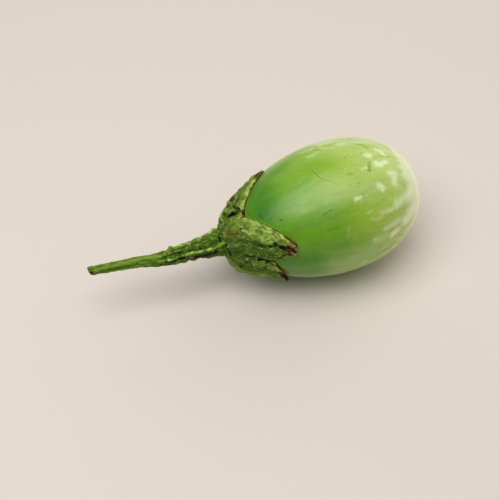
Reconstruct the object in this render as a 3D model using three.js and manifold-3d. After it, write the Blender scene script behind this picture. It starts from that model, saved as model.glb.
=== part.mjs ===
// A small green eggplant with its leafy calyx and the stalk that it was picked by, lying on its side.
// Millimetres, +Z up. The origin is the middle of the flat spot that the fruit rests on, and +X points
// from the stalk to the blossom end.
import * as THREE from "three";
import { mergeVertices } from "three/addons/utils/BufferGeometryUtils.js";
import Module from "manifold-3d";

const { clamp, degToRad, lerp, smoothstep } = THREE.MathUtils;

const fruit = {
  length: 84.7, // along its own axis
  radius: 28.8, // at half its length
  swellToBlossom: 0.113, // makes the blossom half the fuller one
  fullEnds: 0.022,
  unevenness: 0.007, // how far it is from round, as a share of its radius
  scarDepth: 0.9, // the dimple at the blossom end
  scarRadius: 4.5,
  segmentsAround: 60,
  segmentsAlong: 36,
};

// How the fruit lies: its middle stands this far ahead of, beside and above the flat spot's middle.
const lie = {
  pitch: 4, // degrees, blossom end up
  ahead: -2.5,
  beside: 0,
  height: 28.4,
};

const calyx = {
  gap: 0.3, // between the calyx and the skin under it
  bladeThickness: 1.2,
  crownThickness: 6, // over the fruit's end, before the seat is levelled
  crownSpread: 9, // how far from the stalk the thick crown reaches
  seatHeight: 4.6, // where the stalk's foot stands, above the fruit's end
  keelStart: 12, // how far from the stalk a midrib has risen to its full height
  keelEnd: 0.92, // where it has sunk into the blade, as a share of its sepal's length
  grooveDepth: 1, // of the groove that runs in from each notch
  grooveWidth: 1.5,
  marginThickness: 0.8,
  marginWidth: 2.4, // how far in from its edge a blade thins
  crinkle: 0.16,
  columnsPerStretch: 6,
  outerRows: 17,
  innerRows: 7,
};

// Angles are degrees round the fruit from its top towards the near side (-Y), and lengths run over the
// skin from the fruit's stem end. Each sepal's edge runs from the notch before it to the two corners of
// its blunt point. A bend under 1 makes that edge bulge, and one over 1 hollows it. A notch's groove and
// a sepal's midrib, its keel, start from the stalk at root angles of their own. The keel's full height
// fades from a share of the sepal's length, and a stretch of the point curls up off the skin.
const sepals = [
  {
    notch: { angle: 7, length: 15.6, root: 310 },
    point: { from: 60, to: 73, length: 33.5, curled: 6, lift: 1.2 },
    bend: { before: 1.25, after: 0.9 },
    keel: { root: 50, height: 1.9, width: 1.8, fades: 0.55 },
  },
  {
    notch: { angle: 84, length: 21.4, root: 82 },
    point: { from: 121, to: 127, length: 30, curled: 4, lift: 1.5 },
    bend: { before: 0.75, after: 0.9 },
    keel: { root: 145, height: 3.6, width: 3.6, fades: 0.3 },
  },
  {
    notch: { angle: 163, length: 18, root: 166 },
    point: { from: 192, to: 199, length: 29, curled: 8, lift: 0.6 },
    bend: { before: 0.95, after: 1 },
    keel: { root: 190, height: 1.6, width: 1.7, fades: 0.4 },
  },
  {
    notch: { angle: 228, length: 17.5, root: 224 },
    point: { from: 255, to: 260, length: 32.5, curled: 8, lift: 1.6 },
    bend: { before: 0.85, after: 1.1 },
    keel: { root: 250, height: 1.9, width: 1.7, fades: 0.5 },
  },
  {
    notch: { angle: 287, length: 17, root: 280 },
    point: { from: 314, to: 319, length: 33.5, curled: 8, lift: 0.2 },
    bend: { before: 1.1, after: 1.9 },
    keel: { root: 307, height: 1.65, width: 1.7, fades: 0.45 },
  },
];

const stalk = {
  footGap: 0.3, // between its foot and the calyx's seat
  ribs: 5,
  ribHeight: 0.09, // as a share of the radius
  ribTurn: 24, // degrees
  cutSlant: 0.9, // how far the cut end leans, in millimetres
  segmentsAround: 30,
  rings: 32,
};

// Points that the stalk's middle line passes, measured from the calyx's seat: along the fruit's axis away
// from the blossom end, towards the far side, and up.
const stalkRoute = [
  { along: 0, aside: 0.8, up: 0 },
  { along: 14, aside: 1.2, up: 0.3 },
  { along: 27, aside: 1.3, up: 0.9 },
  { along: 36, aside: 3, up: 1.4 },
  { along: 45, aside: 4.1, up: 1.9 },
  { along: 57, aside: 5.5, up: 2.8 },
];

// Radius of the stalk from its foot to its cut end, at even steps.
const stalkRadii = [6, 5.1, 4.1, 3.8, 3.25, 2.6, 2.4, 2.2, 2, 1.9];

const up = new THREE.Vector3(0, 0, 1);

// ---- the fruit's own shape, on its own axis ----

// The outline from the stem end to the blossom end, as distances along the axis and from it.
class Meridian extends THREE.Curve {
  getPoint(t, target = new THREE.Vector2()) {
    const along = -Math.cos(Math.PI * t);
    const swell = 1 + fruit.swellToBlossom * along + fruit.fullEnds * along ** 2;
    const out = Math.sin(Math.PI * t) * swell * fruit.radius;
    return target.set((along * fruit.length) / 2, Math.max(0, out));
  }
}

const meridian = new Meridian();
meridian.arcLengthDivisions = 600;
const meridianLength = meridian.getLength();
const poleShare = 1e-4; // this near to an end, the skin faces straight along the axis

// The gentle swellings that keep the fruit from being round: an oval belly and five faint shoulders.
function unevenAt(share, angle) {
  const belly = Math.sin(Math.PI * share) ** 2;
  const shoulders = Math.exp(-(((share - 0.28) / 0.16) ** 2));
  const oval = belly * Math.cos(2 * angle - 0.7);
  const threeSided = 0.5 * belly * Math.cos(3 * angle - 1.1);
  const fiveSided = 0.6 * shoulders * Math.cos(5 * angle + 0.9);
  return 1 + fruit.unevenness * (oval + threeSided + fiveSided);
}

// The point at a distance over the skin from the stem end and an angle from the top, lifted off the skin.
function overSkin(distance, angle, lift) {
  const share = clamp(distance / meridianLength, 0, 1);
  const at = meridian.getPointAt(share);
  const slope = meridian.getTangentAt(clamp(share, poleShare, 1 - poleShare));
  const atPole = Math.min(share, 1 - share) < poleShare;
  const normalAlong = atPole ? Math.sign(share - 0.5) : -slope.y;
  const normalOut = atPole ? 0 : slope.x;
  const out = at.y * unevenAt(share, angle) + normalOut * lift;
  const along = at.x + normalAlong * lift;
  return new THREE.Vector3(along, -out * Math.sin(angle), out * Math.cos(angle));
}

// A closed ball of columns and rows, with every vertex placed by a rule of its column and its row.
function shapedBall(columns, rows, rule) {
  const ball = new THREE.SphereGeometry(1, columns, rows);
  const position = ball.getAttribute("position");
  for (let i = 0; i < position.count; i++) {
    const place = rule(i % (columns + 1), Math.floor(i / (columns + 1)));
    position.setXYZ(i, place.x, place.y, place.z);
  }
  return closed(ball);
}

// The same geometry with its seams merged, so that it is one closed surface.
function closed(geometry) {
  geometry.deleteAttribute("uv");
  geometry.deleteAttribute("normal");
  return mergeVertices(geometry);
}

function fruitGeometry() {
  const { segmentsAround, segmentsAlong, scarDepth, scarRadius } = fruit;
  return shapedBall(segmentsAround, segmentsAlong, (column, row) => {
    const toBlossom = (row / segmentsAlong) * meridianLength;
    const dimple = scarDepth * Math.exp(-((toBlossom / scarRadius) ** 2));
    const angle = (2 * Math.PI * column) / segmentsAround;
    return overSkin(meridianLength - toBlossom, angle, -dimple);
  });
}

// ---- the calyx ----

const columnsPerSepal = 3 * calyx.columnsPerStretch;
const calyxColumns = sepals.length * columnsPerSepal;

// Where the edge is at a column: the sepal it belongs to, its angle and its reach over the skin.
function edgeAt(column) {
  const turned = column % calyxColumns;
  const index = Math.floor(turned / columnsPerSepal);
  const inSepal = turned % columnsPerSepal;
  const stretch = Math.floor(inSepal / calyx.columnsPerStretch);
  const t = (inSepal % calyx.columnsPerStretch) / calyx.columnsPerStretch;
  const sepal = sepals[index];
  const { notch, point, bend } = sepal;
  if (stretch === 0) {
    const reach = lerp(notch.length, point.length, t ** bend.before);
    return { sepal, angle: lerp(notch.angle, point.from, t), reach };
  }
  if (stretch === 1) {
    const rounding = 0.4 - 1.6 * (t - 0.5) ** 2;
    return { sepal, angle: lerp(point.from, point.to, t), reach: point.length + rounding };
  }
  const last = index + 1 === sepals.length;
  const next = sepals[last ? 0 : index + 1].notch;
  const nextAngle = next.angle + (last ? 360 : 0);
  const reach = lerp(next.length, point.length, (1 - t) ** bend.after);
  return { sepal, angle: lerp(point.to, nextAngle, t), reach };
}

// Degrees from one angle to another, the short way round.
function turnTo(angle, from) {
  return ((angle - from + 540) % 360) - 180;
}

// How far a sepal's point curls off the skin.
function curlAt({ point }, distance) {
  return point.lift * smoothstep(distance, point.length - point.curled, point.length);
}

// How much the midribs add to the blade and the grooves from the notches take from it.
function reliefAt(distance, angle) {
  let height = 0;
  for (const { notch, point, keel } of sepals) {
    const along = clamp(distance / point.length, 0, 1);
    const keelAngle = lerp(keel.root, (point.from + point.to) / 2, along);
    const fromKeel = degToRad(turnTo(angle, keelAngle)) * distance;
    const rise = smoothstep(distance, 0, calyx.keelStart);
    const stands = keel.height * rise * (1 - smoothstep(along, keel.fades, calyx.keelEnd));
    height += stands / (1 + (fromKeel / keel.width) ** 2);
    const toNotch = clamp(distance / notch.length, 0, 1);
    const grooveAngle = notch.root + turnTo(notch.angle, notch.root) * toNotch ** 2;
    const fromGroove = degToRad(turnTo(angle, grooveAngle)) * distance;
    const depth = calyx.grooveDepth * smoothstep(toNotch, 0.3, 0.6);
    height -= depth * Math.exp(-((fromGroove / calyx.grooveWidth) ** 2));
  }
  return height;
}

// The fine unevenness of the blades: two waves that cross.
function crinkleAt(distance, angle) {
  const round = degToRad(angle);
  const waves = Math.sin(0.9 * distance + 7 * round) + Math.sin(11 * round - 0.55 * distance + 1.3);
  return calyx.crinkle * 0.5 * waves * smoothstep(distance, 0, calyx.keelStart);
}

function thicknessAt(distance, angle, reach) {
  const crown = calyx.crownThickness - calyx.bladeThickness;
  const blade = calyx.bladeThickness + crown * Math.exp(-((distance / calyx.crownSpread) ** 2));
  const full = blade + reliefAt(distance, angle) + crinkleAt(distance, angle);
  const inward = smoothstep(reach - distance, 0, calyx.marginWidth);
  return lerp(calyx.marginThickness, Math.max(full, calyx.marginThickness), inward);
}

// The outer rows run from the seat to the edge, and the inner rows back from the edge over the skin.
function calyxGeometry() {
  const { outerRows, innerRows, gap, seatHeight } = calyx;
  const rows = outerRows + innerRows + 1;
  const seat = -fruit.length / 2 - seatHeight;
  return shapedBall(calyxColumns, rows, (column, row) => {
    const { sepal, angle, reach } = edgeAt(calyxColumns - column);
    const outer = row <= outerRows;
    // the outer rows crowd towards the edge, where the blade thins
    const share = outer ? Math.sin((row / outerRows) * (Math.PI / 2)) : (rows - row) / innerRows;
    const distance = reach * share;
    const thickness = outer ? thicknessAt(distance, angle, reach) : 0;
    const place = overSkin(distance, degToRad(angle), gap + curlAt(sepal, distance) + thickness);
    place.x = Math.max(place.x, seat);
    return place;
  });
}

// ---- the stalk ----

function stalkCurve() {
  const foot = -fruit.length / 2 - calyx.seatHeight - stalk.footGap;
  const points = stalkRoute.map((at) => new THREE.Vector3(foot - at.along, at.aside, at.up));
  return new THREE.CatmullRomCurve3(points);
}

function stalkRadiusAt(share) {
  const at = share * (stalkRadii.length - 1);
  const step = Math.min(Math.floor(at), stalkRadii.length - 2);
  return lerp(stalkRadii[step], stalkRadii[step + 1], at - step);
}

function stalkGeometry() {
  const { segmentsAround, rings, ribs, ribHeight, ribTurn, cutSlant } = stalk;
  const curve = stalkCurve();
  const rod = new THREE.CylinderGeometry(1, 1, 1, segmentsAround, rings);
  const position = rod.getAttribute("position");
  for (let i = 0; i < position.count; i++) {
    const share = position.getY(i) + 0.5;
    const forward = curve.getTangentAt(share);
    const side = new THREE.Vector3().crossVectors(forward, up).normalize();
    const above = new THREE.Vector3().crossVectors(side, forward);
    // the middle vertex of an end has no turn of its own and stays on the curve
    const fromMiddle = Math.hypot(position.getX(i), position.getZ(i));
    const turn = Math.atan2(position.getZ(i), position.getX(i));
    const rib = 1 + ribHeight * Math.cos(ribs * (turn - degToRad(ribTurn)));
    const out = fromMiddle * stalkRadiusAt(share) * rib;
    const slant = share === 1 ? fromMiddle * cutSlant * Math.sin(turn) : 0;
    const place = curve.getPointAt(share);
    place.addScaledVector(side, out * Math.cos(turn));
    place.addScaledVector(above, out * Math.sin(turn));
    place.addScaledVector(forward, slant);
    position.setXYZ(i, place.x, place.y, place.z);
  }
  return closed(rod);
}

// ---- how it lies ----

const wasm = await Module();
wasm.setup();

function solid(geometry) {
  return new wasm.Manifold(
    new wasm.Mesh({
      numProp: 3,
      vertProperties: new Float32Array(geometry.getAttribute("position").array),
      triVerts: new Uint32Array(geometry.index.array),
    }),
  );
}

function geometryOf(manifold) {
  const { vertProperties, triVerts } = manifold.getMesh();
  const geometry = new THREE.BufferGeometry();
  geometry.setAttribute("position", new THREE.BufferAttribute(vertProperties, 3));
  geometry.setIndex(new THREE.BufferAttribute(triVerts, 1));
  return geometry;
}

// Lays a geometry that was made on the fruit's own axis down on the ground.
function laid(geometry) {
  geometry.rotateY(-degToRad(lie.pitch));
  return geometry.translate(lie.ahead, lie.beside, lie.height);
}

// The fruit without the thin slice of it that would reach below the ground.
function restingFruit() {
  const under = new THREE.BoxGeometry(fruit.length, fruit.length, fruit.radius);
  under.translate(0, 0, -fruit.radius / 2);
  return geometryOf(solid(laid(fruitGeometry())).subtract(solid(closed(under))));
}

// ---- the object ----

const skin = new THREE.MeshStandardMaterial({ color: "#86ab45", roughness: 0.35, metalness: 0 });
const leaf = new THREE.MeshStandardMaterial({ color: "#587a2b", roughness: 0.8, metalness: 0 });
const greenWood = new THREE.MeshStandardMaterial({ color: "#5f7f2c", roughness: 0.75, metalness: 0 });

const eggplant = new THREE.Group();

function addPiece(name, geometry, material) {
  geometry.computeVertexNormals();
  const piece = new THREE.Mesh(geometry, material);
  piece.name = name;
  eggplant.add(piece);
}

addPiece("fruit", restingFruit(), skin);
addPiece("calyx", laid(calyxGeometry()), leaf);
addPiece("stalk", laid(stalkGeometry()), greenWood);

export default eggplant;
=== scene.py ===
# A small green eggplant on its side: the waxy fruit, its felted calyx and the ribbed stalk it was picked
# by. Lengths are in millimetres until laid() turns them to metres. A place on the fruit is a distance over
# the skin from the stem end and an angle in degrees, from the top towards the near side.
import math

import bpy
import numpy as np
from mathutils import Matrix, Vector


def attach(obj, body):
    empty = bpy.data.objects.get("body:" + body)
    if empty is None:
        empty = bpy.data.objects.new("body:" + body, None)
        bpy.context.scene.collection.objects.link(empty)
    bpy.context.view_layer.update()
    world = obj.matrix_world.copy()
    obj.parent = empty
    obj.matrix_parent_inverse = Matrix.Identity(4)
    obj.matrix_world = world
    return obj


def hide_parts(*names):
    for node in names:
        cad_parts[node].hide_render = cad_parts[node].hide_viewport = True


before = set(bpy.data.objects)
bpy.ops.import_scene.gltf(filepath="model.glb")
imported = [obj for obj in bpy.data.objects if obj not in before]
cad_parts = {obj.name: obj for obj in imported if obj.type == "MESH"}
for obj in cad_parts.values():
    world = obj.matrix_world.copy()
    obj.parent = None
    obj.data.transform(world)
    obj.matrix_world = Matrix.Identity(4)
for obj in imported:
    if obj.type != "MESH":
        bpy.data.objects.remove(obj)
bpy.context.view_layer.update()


def smooth(values, low, high):
    share = np.clip((values - low) / (high - low), 0, 1)
    return share * share * (3 - 2 * share)


# 1 at zero, and softly down to nothing on both sides
def bell(values, width):
    return np.exp(-((values / width) ** 2))


# a soft random field made of waves that all have about one length, with a spread of about 1
def ripple(points, spacing, seed, count=28):
    chance = np.random.default_rng(seed)
    directions = chance.normal(size=(count, 3))
    directions /= np.linalg.norm(directions, axis=1)[:, None]
    lengths = spacing * chance.uniform(0.75, 1.35, count)
    phases = chance.uniform(0, 2 * np.pi, count)
    waves = np.sin(points @ (directions / lengths[:, None]).T * 2 * np.pi + phases)
    return waves.sum(axis=-1) * math.sqrt(2 / count)


# adds soft random fields given as (height, spacing, seed) to heights over a surface
def roughened(heights, points, fields):
    for height, spacing, seed in fields:
        heights = heights + height * ripple(points, spacing, seed)
    return heights


# places round a straight line, to measure and to lay patterns by
def roundLine(along, degrees, radius):
    along, turn, radius = np.broadcast_arrays(along, np.radians(degrees), radius)
    return np.stack([along, radius * np.sin(turn), radius * np.cos(turn)], axis=-1)


# the turn in degrees from one angle to another, the short way round
def turnTo(angle, start):
    return (angle - start + 540) % 360 - 180


def addObject(name, data):
    made = bpy.data.objects.new(name, data)
    bpy.context.scene.collection.objects.link(made)
    return made


# a closed mesh of rings between two end points, with each mask kept as an attribute of its vertices
def closedMesh(name, rings, ends, masks):
    rows, columns = rings.shape[:2]
    first, last = rows * columns, rows * columns + 1
    here = np.arange(rows * columns).reshape(rows, columns)
    beside = np.roll(here, -1, axis=1)
    quads = np.stack([here[:-1], beside[:-1], beside[1:], here[1:]], axis=-1).reshape(-1, 4)
    fans = [[first, b, a] for a, b in zip(here[0], beside[0])]
    fans += [[last, a, b] for a, b in zip(here[-1], beside[-1])]
    mesh = bpy.data.meshes.new(name)
    corners = np.concatenate([rings.reshape(-1, 3), ends])
    mesh.from_pydata(corners.tolist(), [], quads.tolist() + np.array(fans).tolist())
    mesh.shade_smooth()
    for label, values in masks.items():
        poles = np.stack([values[0].mean(axis=0), values[-1].mean(axis=0)])
        isVector = values.ndim == 3
        flat = np.concatenate([values.reshape(first, -1), poles.reshape(2, -1)]).astype(np.float32)
        attribute = mesh.attributes.new(label, "FLOAT_VECTOR" if isVector else "FLOAT", "POINT")
        attribute.data.foreach_set("vector" if isVector else "value", flat.ravel())
    return addObject(name, mesh)


# gives a finished piece its material in a slot and the root body, and hides the CAD solid it stands for
def settle(piece, material, node):
    piece.data.materials.append(material)
    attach(piece, "root")
    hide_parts(node)
    print(f"{piece.name}: {len(piece.data.polygons)} faces")


fruit = {
    "length": 84.7,
    "radius": 28.8,
    "swellToBlossom": 0.113,
    "fullEnds": 0.022,
    "unevenness": 0.007,
    # where it has flatter sides, how many, how far they are turned in radians, and how marked they are
    "sides": [("belly", 2, -0.7, 1), ("belly", 3, -1.1, 0.5), ("shoulders", 5, 0.9, 0.6)],
    "shouldersAt": 0.28,  # a share of the way over the skin, as their width is
    "shouldersWidth": 0.16,
    "scarDepth": 0.9,
    "scarRadius": 4.5,
    "columns": 300,
    "rows": 320,
    "dents": (0.05, 15, 3),  # faint hollows: depth, spacing and seed
    "dentFill": 1.2,  # more of it hollows more of the skin
    "paintedLitTop": {"turn": 2, "from": 0.6, "full": 0.88},  # the lit colours, by how far the skin faces up: painted light from above
    "broadWander": (6, 0.3, 41),  # how the outlines of marks stray: spacing, amount and seed
    "fineWander": (1.9, 0.13, 51),
    "steadyMarks": ("olive", "nick"),  # thin ones, which keep their outline
}

# how the fruit lies: its middle stands this far from the middle of the flat spot under it
lie = {"pitch": 4, "ahead": -2.5, "beside": 0, "height": 28.4}

steps = np.linspace(0, np.pi, 4001)
lineShare = -np.cos(steps)
lineAlong = lineShare * fruit["length"] / 2
lineSwell = 1 + fruit["swellToBlossom"] * lineShare + fruit["fullEnds"] * lineShare**2
lineOut = np.maximum(np.sin(steps) * lineSwell * fruit["radius"], 0)
lineLength = np.concatenate([[0], np.cumsum(np.hypot(np.diff(lineAlong), np.diff(lineOut)))])
meridianLength = lineLength[-1]
slopeAlong = np.gradient(lineAlong, lineLength)
slopeOut = np.gradient(lineOut, lineLength)


# how the skin's distance from its axis strays: oval and faintly three-sided along the belly, and
# five-sided over the shoulders
def unevenAt(share, angle):
    shoulders = bell(share - fruit["shouldersAt"], fruit["shouldersWidth"])
    there = {"belly": np.sin(np.pi * share) ** 2, "shoulders": shoulders}
    swell = 0
    for place, sides, turn, part in fruit["sides"]:
        swell = swell + part * there[place] * np.cos(sides * angle + turn)
    return 1 + fruit["unevenness"] * swell


# points on the fruit's own axis, lifted off the skin
def overSkin(distance, degrees, lift=0.0):
    distance = np.clip(distance, 0, meridianLength)
    angle = np.radians(degrees)
    out = np.interp(distance, lineLength, lineOut) * unevenAt(distance / meridianLength, angle)
    out = out + np.interp(distance, lineLength, slopeAlong) * lift
    along = np.interp(distance, lineLength, lineAlong) - np.interp(distance, lineLength, slopeOut) * lift
    along, out, angle = np.broadcast_arrays(along, out, angle)
    return np.stack([along, -out * np.sin(angle), out * np.cos(angle)], axis=-1)


# lays points that were made on the fruit's own axis down on the ground, in metres
def laid(points):
    cosine, sine = math.cos(math.radians(lie["pitch"])), math.sin(math.radians(lie["pitch"]))
    x, y, z = points[..., 0], points[..., 1], points[..., 2]
    turned = np.stack([x * cosine - z * sine, y, x * sine + z * cosine], axis=-1)
    return (turned + [lie["ahead"], lie["beside"], lie["height"]]) / 1000


# places on a surface as points that follow it, with some steps between each two
def lineThrough(places, toPoints, between):
    stops = np.array(places, float)
    at = np.linspace(0, len(stops) - 1, between * (len(stops) - 1) + 1)
    index = np.arange(len(stops))
    return toPoints(np.interp(at, index, stops[:, 0]), np.interp(at, index, stops[:, 1]))


def skinLine(places):
    return lineThrough(places, overSkin, 4)


# how points lie to a line: how far along it, how far across it (below 0 on one side) and how far off.
# A line of one point is a spot.
def besideLine(points, line):
    outward = points * [0.45, 1, 1]  # about the way off the skin, as off an ellipsoid of its shape
    outward = outward / np.linalg.norm(outward, axis=-1, keepdims=True)
    off = np.linalg.norm(points - line[0], axis=-1)
    along, across = np.zeros_like(off), np.zeros_like(off)
    done = 0.0
    for index, (start, end) in enumerate(zip(line[:-1], line[1:])):
        length = np.linalg.norm(end - start)
        forward = (end - start) / length
        offset = points - start
        ahead = offset @ forward
        away = np.linalg.norm(offset - np.clip(ahead, 0, length)[..., None] * forward, axis=-1)
        nearer = away <= off
        farthest = np.inf if index == len(line) - 2 else length
        reached = np.clip(ahead, -np.inf if index == 0 else 0, farthest)
        sideways = -np.einsum("...i,...i->...", np.cross(forward, offset), outward)
        along = np.where(nearer, done + reached, along)
        across = np.where(nearer, sideways, across)
        off = np.where(nearer, away, off)
        done += length
    return along, across, off


# moves points about by a soft random field, so that what is drawn at them gets an uneven outline
def astray(points, spacing, amount, seed):
    return points + amount * np.stack([ripple(points, spacing, seed + axis) for axis in range(3)], axis=-1)


# how strongly marks drawn over a surface show at its points, from 0 to about 1
def marksAt(points, marks, toLine, reach=3.2):
    shown = np.zeros(points.shape[:-1])
    for width, strength, places in marks:
        line = toLine(places)
        low, high = line.min(axis=0) - reach * width, line.max(axis=0) + reach * width
        near = np.all((points > low) & (points < high), axis=-1)
        if near.any():
            off = besideLine(points[near], line)[2]
            shown[near] = np.maximum(shown[near], strength * bell(off, width))
    return shown


# an sRGB hex colour as the linear colour that shaders use
def linear(hexColour):
    parts = [int(hexColour[i : i + 2], 16) / 255 for i in (1, 3, 5)]
    return [p / 12.92 if p <= 0.04045 else ((p + 0.055) / 1.055) ** 2.4 for p in parts] + [1]


# adds a node with its settings. An input takes a value, an output, or a node whose first output feeds it.
def addNode(tree, kind, inputs=None, **settings):
    node = tree.nodes.new("ShaderNode" + kind)
    for label, value in settings.items():
        setattr(node, label, value)
    for label, value in (inputs or {}).items():
        if isinstance(value, bpy.types.Node):
            value = value.outputs[0]
        if isinstance(value, bpy.types.NodeSocket):
            tree.links.new(value, node.inputs[label])
        else:
            node.inputs[label].default_value = value
    return node


def newMaterial(name):
    material = bpy.data.materials.new(name)
    material.use_nodes = True
    material.node_tree.nodes.clear()
    return material, material.node_tree


# gathers the places and masks kept on the mesh, and patterns given as (name, length, width, detail) in mm
def gatherSources(tree, placeName, masks, patterns, roughness=0.6):
    place = addNode(tree, "Attribute", attribute_name=placeName).outputs["Vector"]
    sources = {label: addNode(tree, "Attribute", attribute_name=label).outputs["Fac"] for label in masks}
    for label, length, width, detail in patterns:
        grain = (1 / length, 1 / width, 1 / width)
        sized = addNode(tree, "VectorMath", {0: place, 1: grain}, operation="MULTIPLY")
        noise = {"Vector": sized, "Scale": 1.0, "Detail": detail, "Roughness": roughness}
        sources[label] = addNode(tree, "TexNoise", noise).outputs["Fac"]
    return place, sources


# lays tints over a colour. A layer names its mask, the pattern that ruffles it and by how much, the range
# it comes in over, its strength below and above that range, and its tint.
def layTints(tree, colour, sources, palette, layers):
    for mask, pattern, ruffle, low, high, start, end, tint in layers:
        summed = {0: sources[pattern], 1: ruffle, 2: sources[mask]}
        ruffled = addNode(tree, "Math", summed, operation="MULTIPLY_ADD")
        span = {0: ruffled, 1: low + ruffle / 2, 2: high + ruffle / 2, 3: start, 4: end}
        shown = addNode(tree, "MapRange", span, interpolation_type="SMOOTHSTEP")
        mixed = addNode(tree, "Mix", {0: shown, 6: colour, 7: linear(palette[tint])}, data_type="RGBA")
        colour = mixed.outputs[2]
    return colour


# ends a material with the relief of its surface and the shader that holds the rest of its finish
def addSurface(tree, colour, height, look, inputs):
    bump = addNode(tree, "Bump", {"Strength": look["bump"], "Distance": look["relief"], "Height": height})
    inputs = {"Base Color": colour, "Normal": bump, **look["finish"], **inputs}
    addNode(tree, "OutputMaterial", {"Surface": addNode(tree, "BsdfPrincipled", inputs)})


skin = {
    # colours by how far over the skin they lie from the stem end, lit and shaded copies: painted light
    "paintedLitTop": [
        (14, "#3b7a08"), (22, "#46880f"), (30, "#5c921a"), (40, "#72a026"), (50, "#87ab2d"),
        (60, "#9cb742"), (72, "#a8bf59"), (81, "#b5c766"), (86, "#bccc78"), (90, "#e2eaba"),
        (97, "#f2f7d4"),
    ],
    "paintedShadedSide": [
        (14, "#468014"), (30, "#4f8c0c"), (42, "#5f990a"), (54, "#75a21b"), (66, "#95b73a"),
        (78, "#abc454"), (85, "#b9ce70"), (90, "#dbe6ae"), (96, "#f0f6cf"),
    ],
    "deepAndPaintedShade": "#397604",
    "paintedBluishReflection": "#2a701c",
    "nick": "#2f5c0c",
    "limeAndPaintedShade": "#659b00",
    "milkyAndPaintedHighlight": "#a9c381",
    "olive": "#6f9312",
    "cream": "#dee7b9",
    "cap": "#f0f4d2",
    "blush": "#c9b184",
    "edge": "#7fae1c",
    "speck": "#4a6a18",
    "scratch": "#5c7416",
    "scar": "#8a7040",
    "scarDark": "#4d3a1e",
    "tints": [  # mask, pattern, ruffle, from, to, strength below and above, and the tint
        ("dashes", "mottle", 0.5, 0.5, 0.75, 0, 0.12, "milkyAndPaintedHighlight"),
        ("dashes", "mottle", 0.5, 0.25, 0.48, 0.16, 0, "deepAndPaintedShade"),
        # lime green of the fruit's own, and painted shade along its upper edge
        ("limeAndPaintedShade", "brushed", 0.7, -0.1, 1, 0, 0.85, "limeAndPaintedShade"),
        # deep green of the fruit's own, and painted shade on its lower side
        ("deepAndPaintedShade", "brushed", 0.6, 0, 1, 0, 0.8, "deepAndPaintedShade"),
        # painted reflection: a dark bluish-green patch near the calyx
        ("paintedBluishReflection", "brushed", 0.5, 0, 1, 0, 0.55, "paintedBluishReflection"),
        # painted highlight: the soft reflection of the lamps
        ("milkyAndPaintedHighlight", "brushed", 0.9, -0.1, 1.1, 0, 0.75, "milkyAndPaintedHighlight"),
        ("olive", "streak", 1.1, 0.1, 1, 0, 0.75, "olive"),
        ("mottle", "streak", 0.4, 0.5, 0.8, 0, 0.22, "olive"),
        ("streak", "mottle", 0.3, 0.52, 0.8, 0, 0.2, "deepAndPaintedShade"),
        ("toScar", "streak", 8, 10, 24, 0.8, 0, "cap"),
        ("cream", "mottle", 0.7, 0, 1, 0, 0.4, "cream"),
        ("cream", "streak", 1.3, 0.2, 1.2, 0, 0.65, "cream"),
        ("pale", "streak", 0.9, 0.1, 1, 0, 0.75, "cap"),
        ("nick", "mottle", 0.3, 0.1, 0.7, 0, 0.6, "nick"),
        ("blush", "streak", 1.1, 0.2, 0.9, 0, 0.7, "blush"),
        ("fromLeaf", "mottle", 0.6, 0.2, 1.6, 0.35, 0, "edge"),
    ],
    "scarTints": [
        ("toScar", "mottle", 2.4, 1.8, 2.8, 0.9, 0, "scar"),
        ("toScar", "mottle", 1.6, 0.8, 1.5, 0.85, 0, "scarDark"),
    ],
    "patterns": [  # name, length along the fruit, width and detail
        ("drift", 34, 13, 2),
        ("brushed", 11, 3.2, 3),
        ("streak", 5, 1.3, 4),
        ("mottle", 2.2, 1.6, 4),
        ("dashes", 1.5, 0.9, 2),
    ],
    "driftShift": 22,  # mm that a pattern shifts the ground colours by
    "brushedShift": 12,
    "speckSpacing": 5.5,  # mm between the middles of their cells
    "speckSize": 0.3,
    "largestSpeck": 1.5,  # times that size
    "bareCells": 0.62,  # the share of cells with no speck
    "speckStrength": 0.6,
    "glossOver": (0.3, 0.7),  # the mottle that takes the roughness from the first to the second
    "roughness": (0.32, 0.41),
    "pebbleSize": 1.3,
    "bump": 0.25,
    "relief": 0.00006,  # metres
    "finish": {
        "IOR": 1.45,  # plant wax
        "Specular IOR Level": 0.38,
        "Coat Weight": 0.08,
        "Coat Roughness": 0.15,
        "Sheen Weight": 1.0,  # the pale bloom that shows along the outline
        "Sheen Roughness": 0.28,
        "Sheen Tint": linear("#f1fabf"),
        "Subsurface Weight": 0.12,
        "Subsurface Radius": (0.8, 1.0, 0.3),
        "Subsurface Scale": 0.002,
    },
}


# ground colours along the fruit, lit and shaded (painted light), shifted to and fro by the patterns
def groundColour(tree, distance, sources):
    shifted = distance
    for pattern in ("drift", "brushed"):
        moved = {0: sources[pattern], 1: skin[pattern + "Shift"], 2: shifted}
        shifted = addNode(tree, "Math", moved, operation="MULTIPLY_ADD")
    middle = (skin["driftShift"] + skin["brushedShift"]) / 2
    share = addNode(tree, "MapRange", {0: shifted, 1: middle, 2: middle + float(meridianLength)})
    grounds = []
    for side in ("paintedShadedSide", "paintedLitTop"):
        ramp = addNode(tree, "ValToRGB", {0: share})
        stops = ramp.color_ramp.elements
        while len(stops) < len(skin[side]):
            stops.new(1.0)
        for stop, (position, colour) in zip(stops, skin[side]):
            stop.position = position / meridianLength
            stop.color = linear(colour)
        grounds.append(ramp)
    tone = addNode(tree, "Mix", {0: sources["paintedLitTop"], 6: grounds[0], 7: grounds[1]}, data_type="RGBA")
    return tone.outputs[2]


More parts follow.
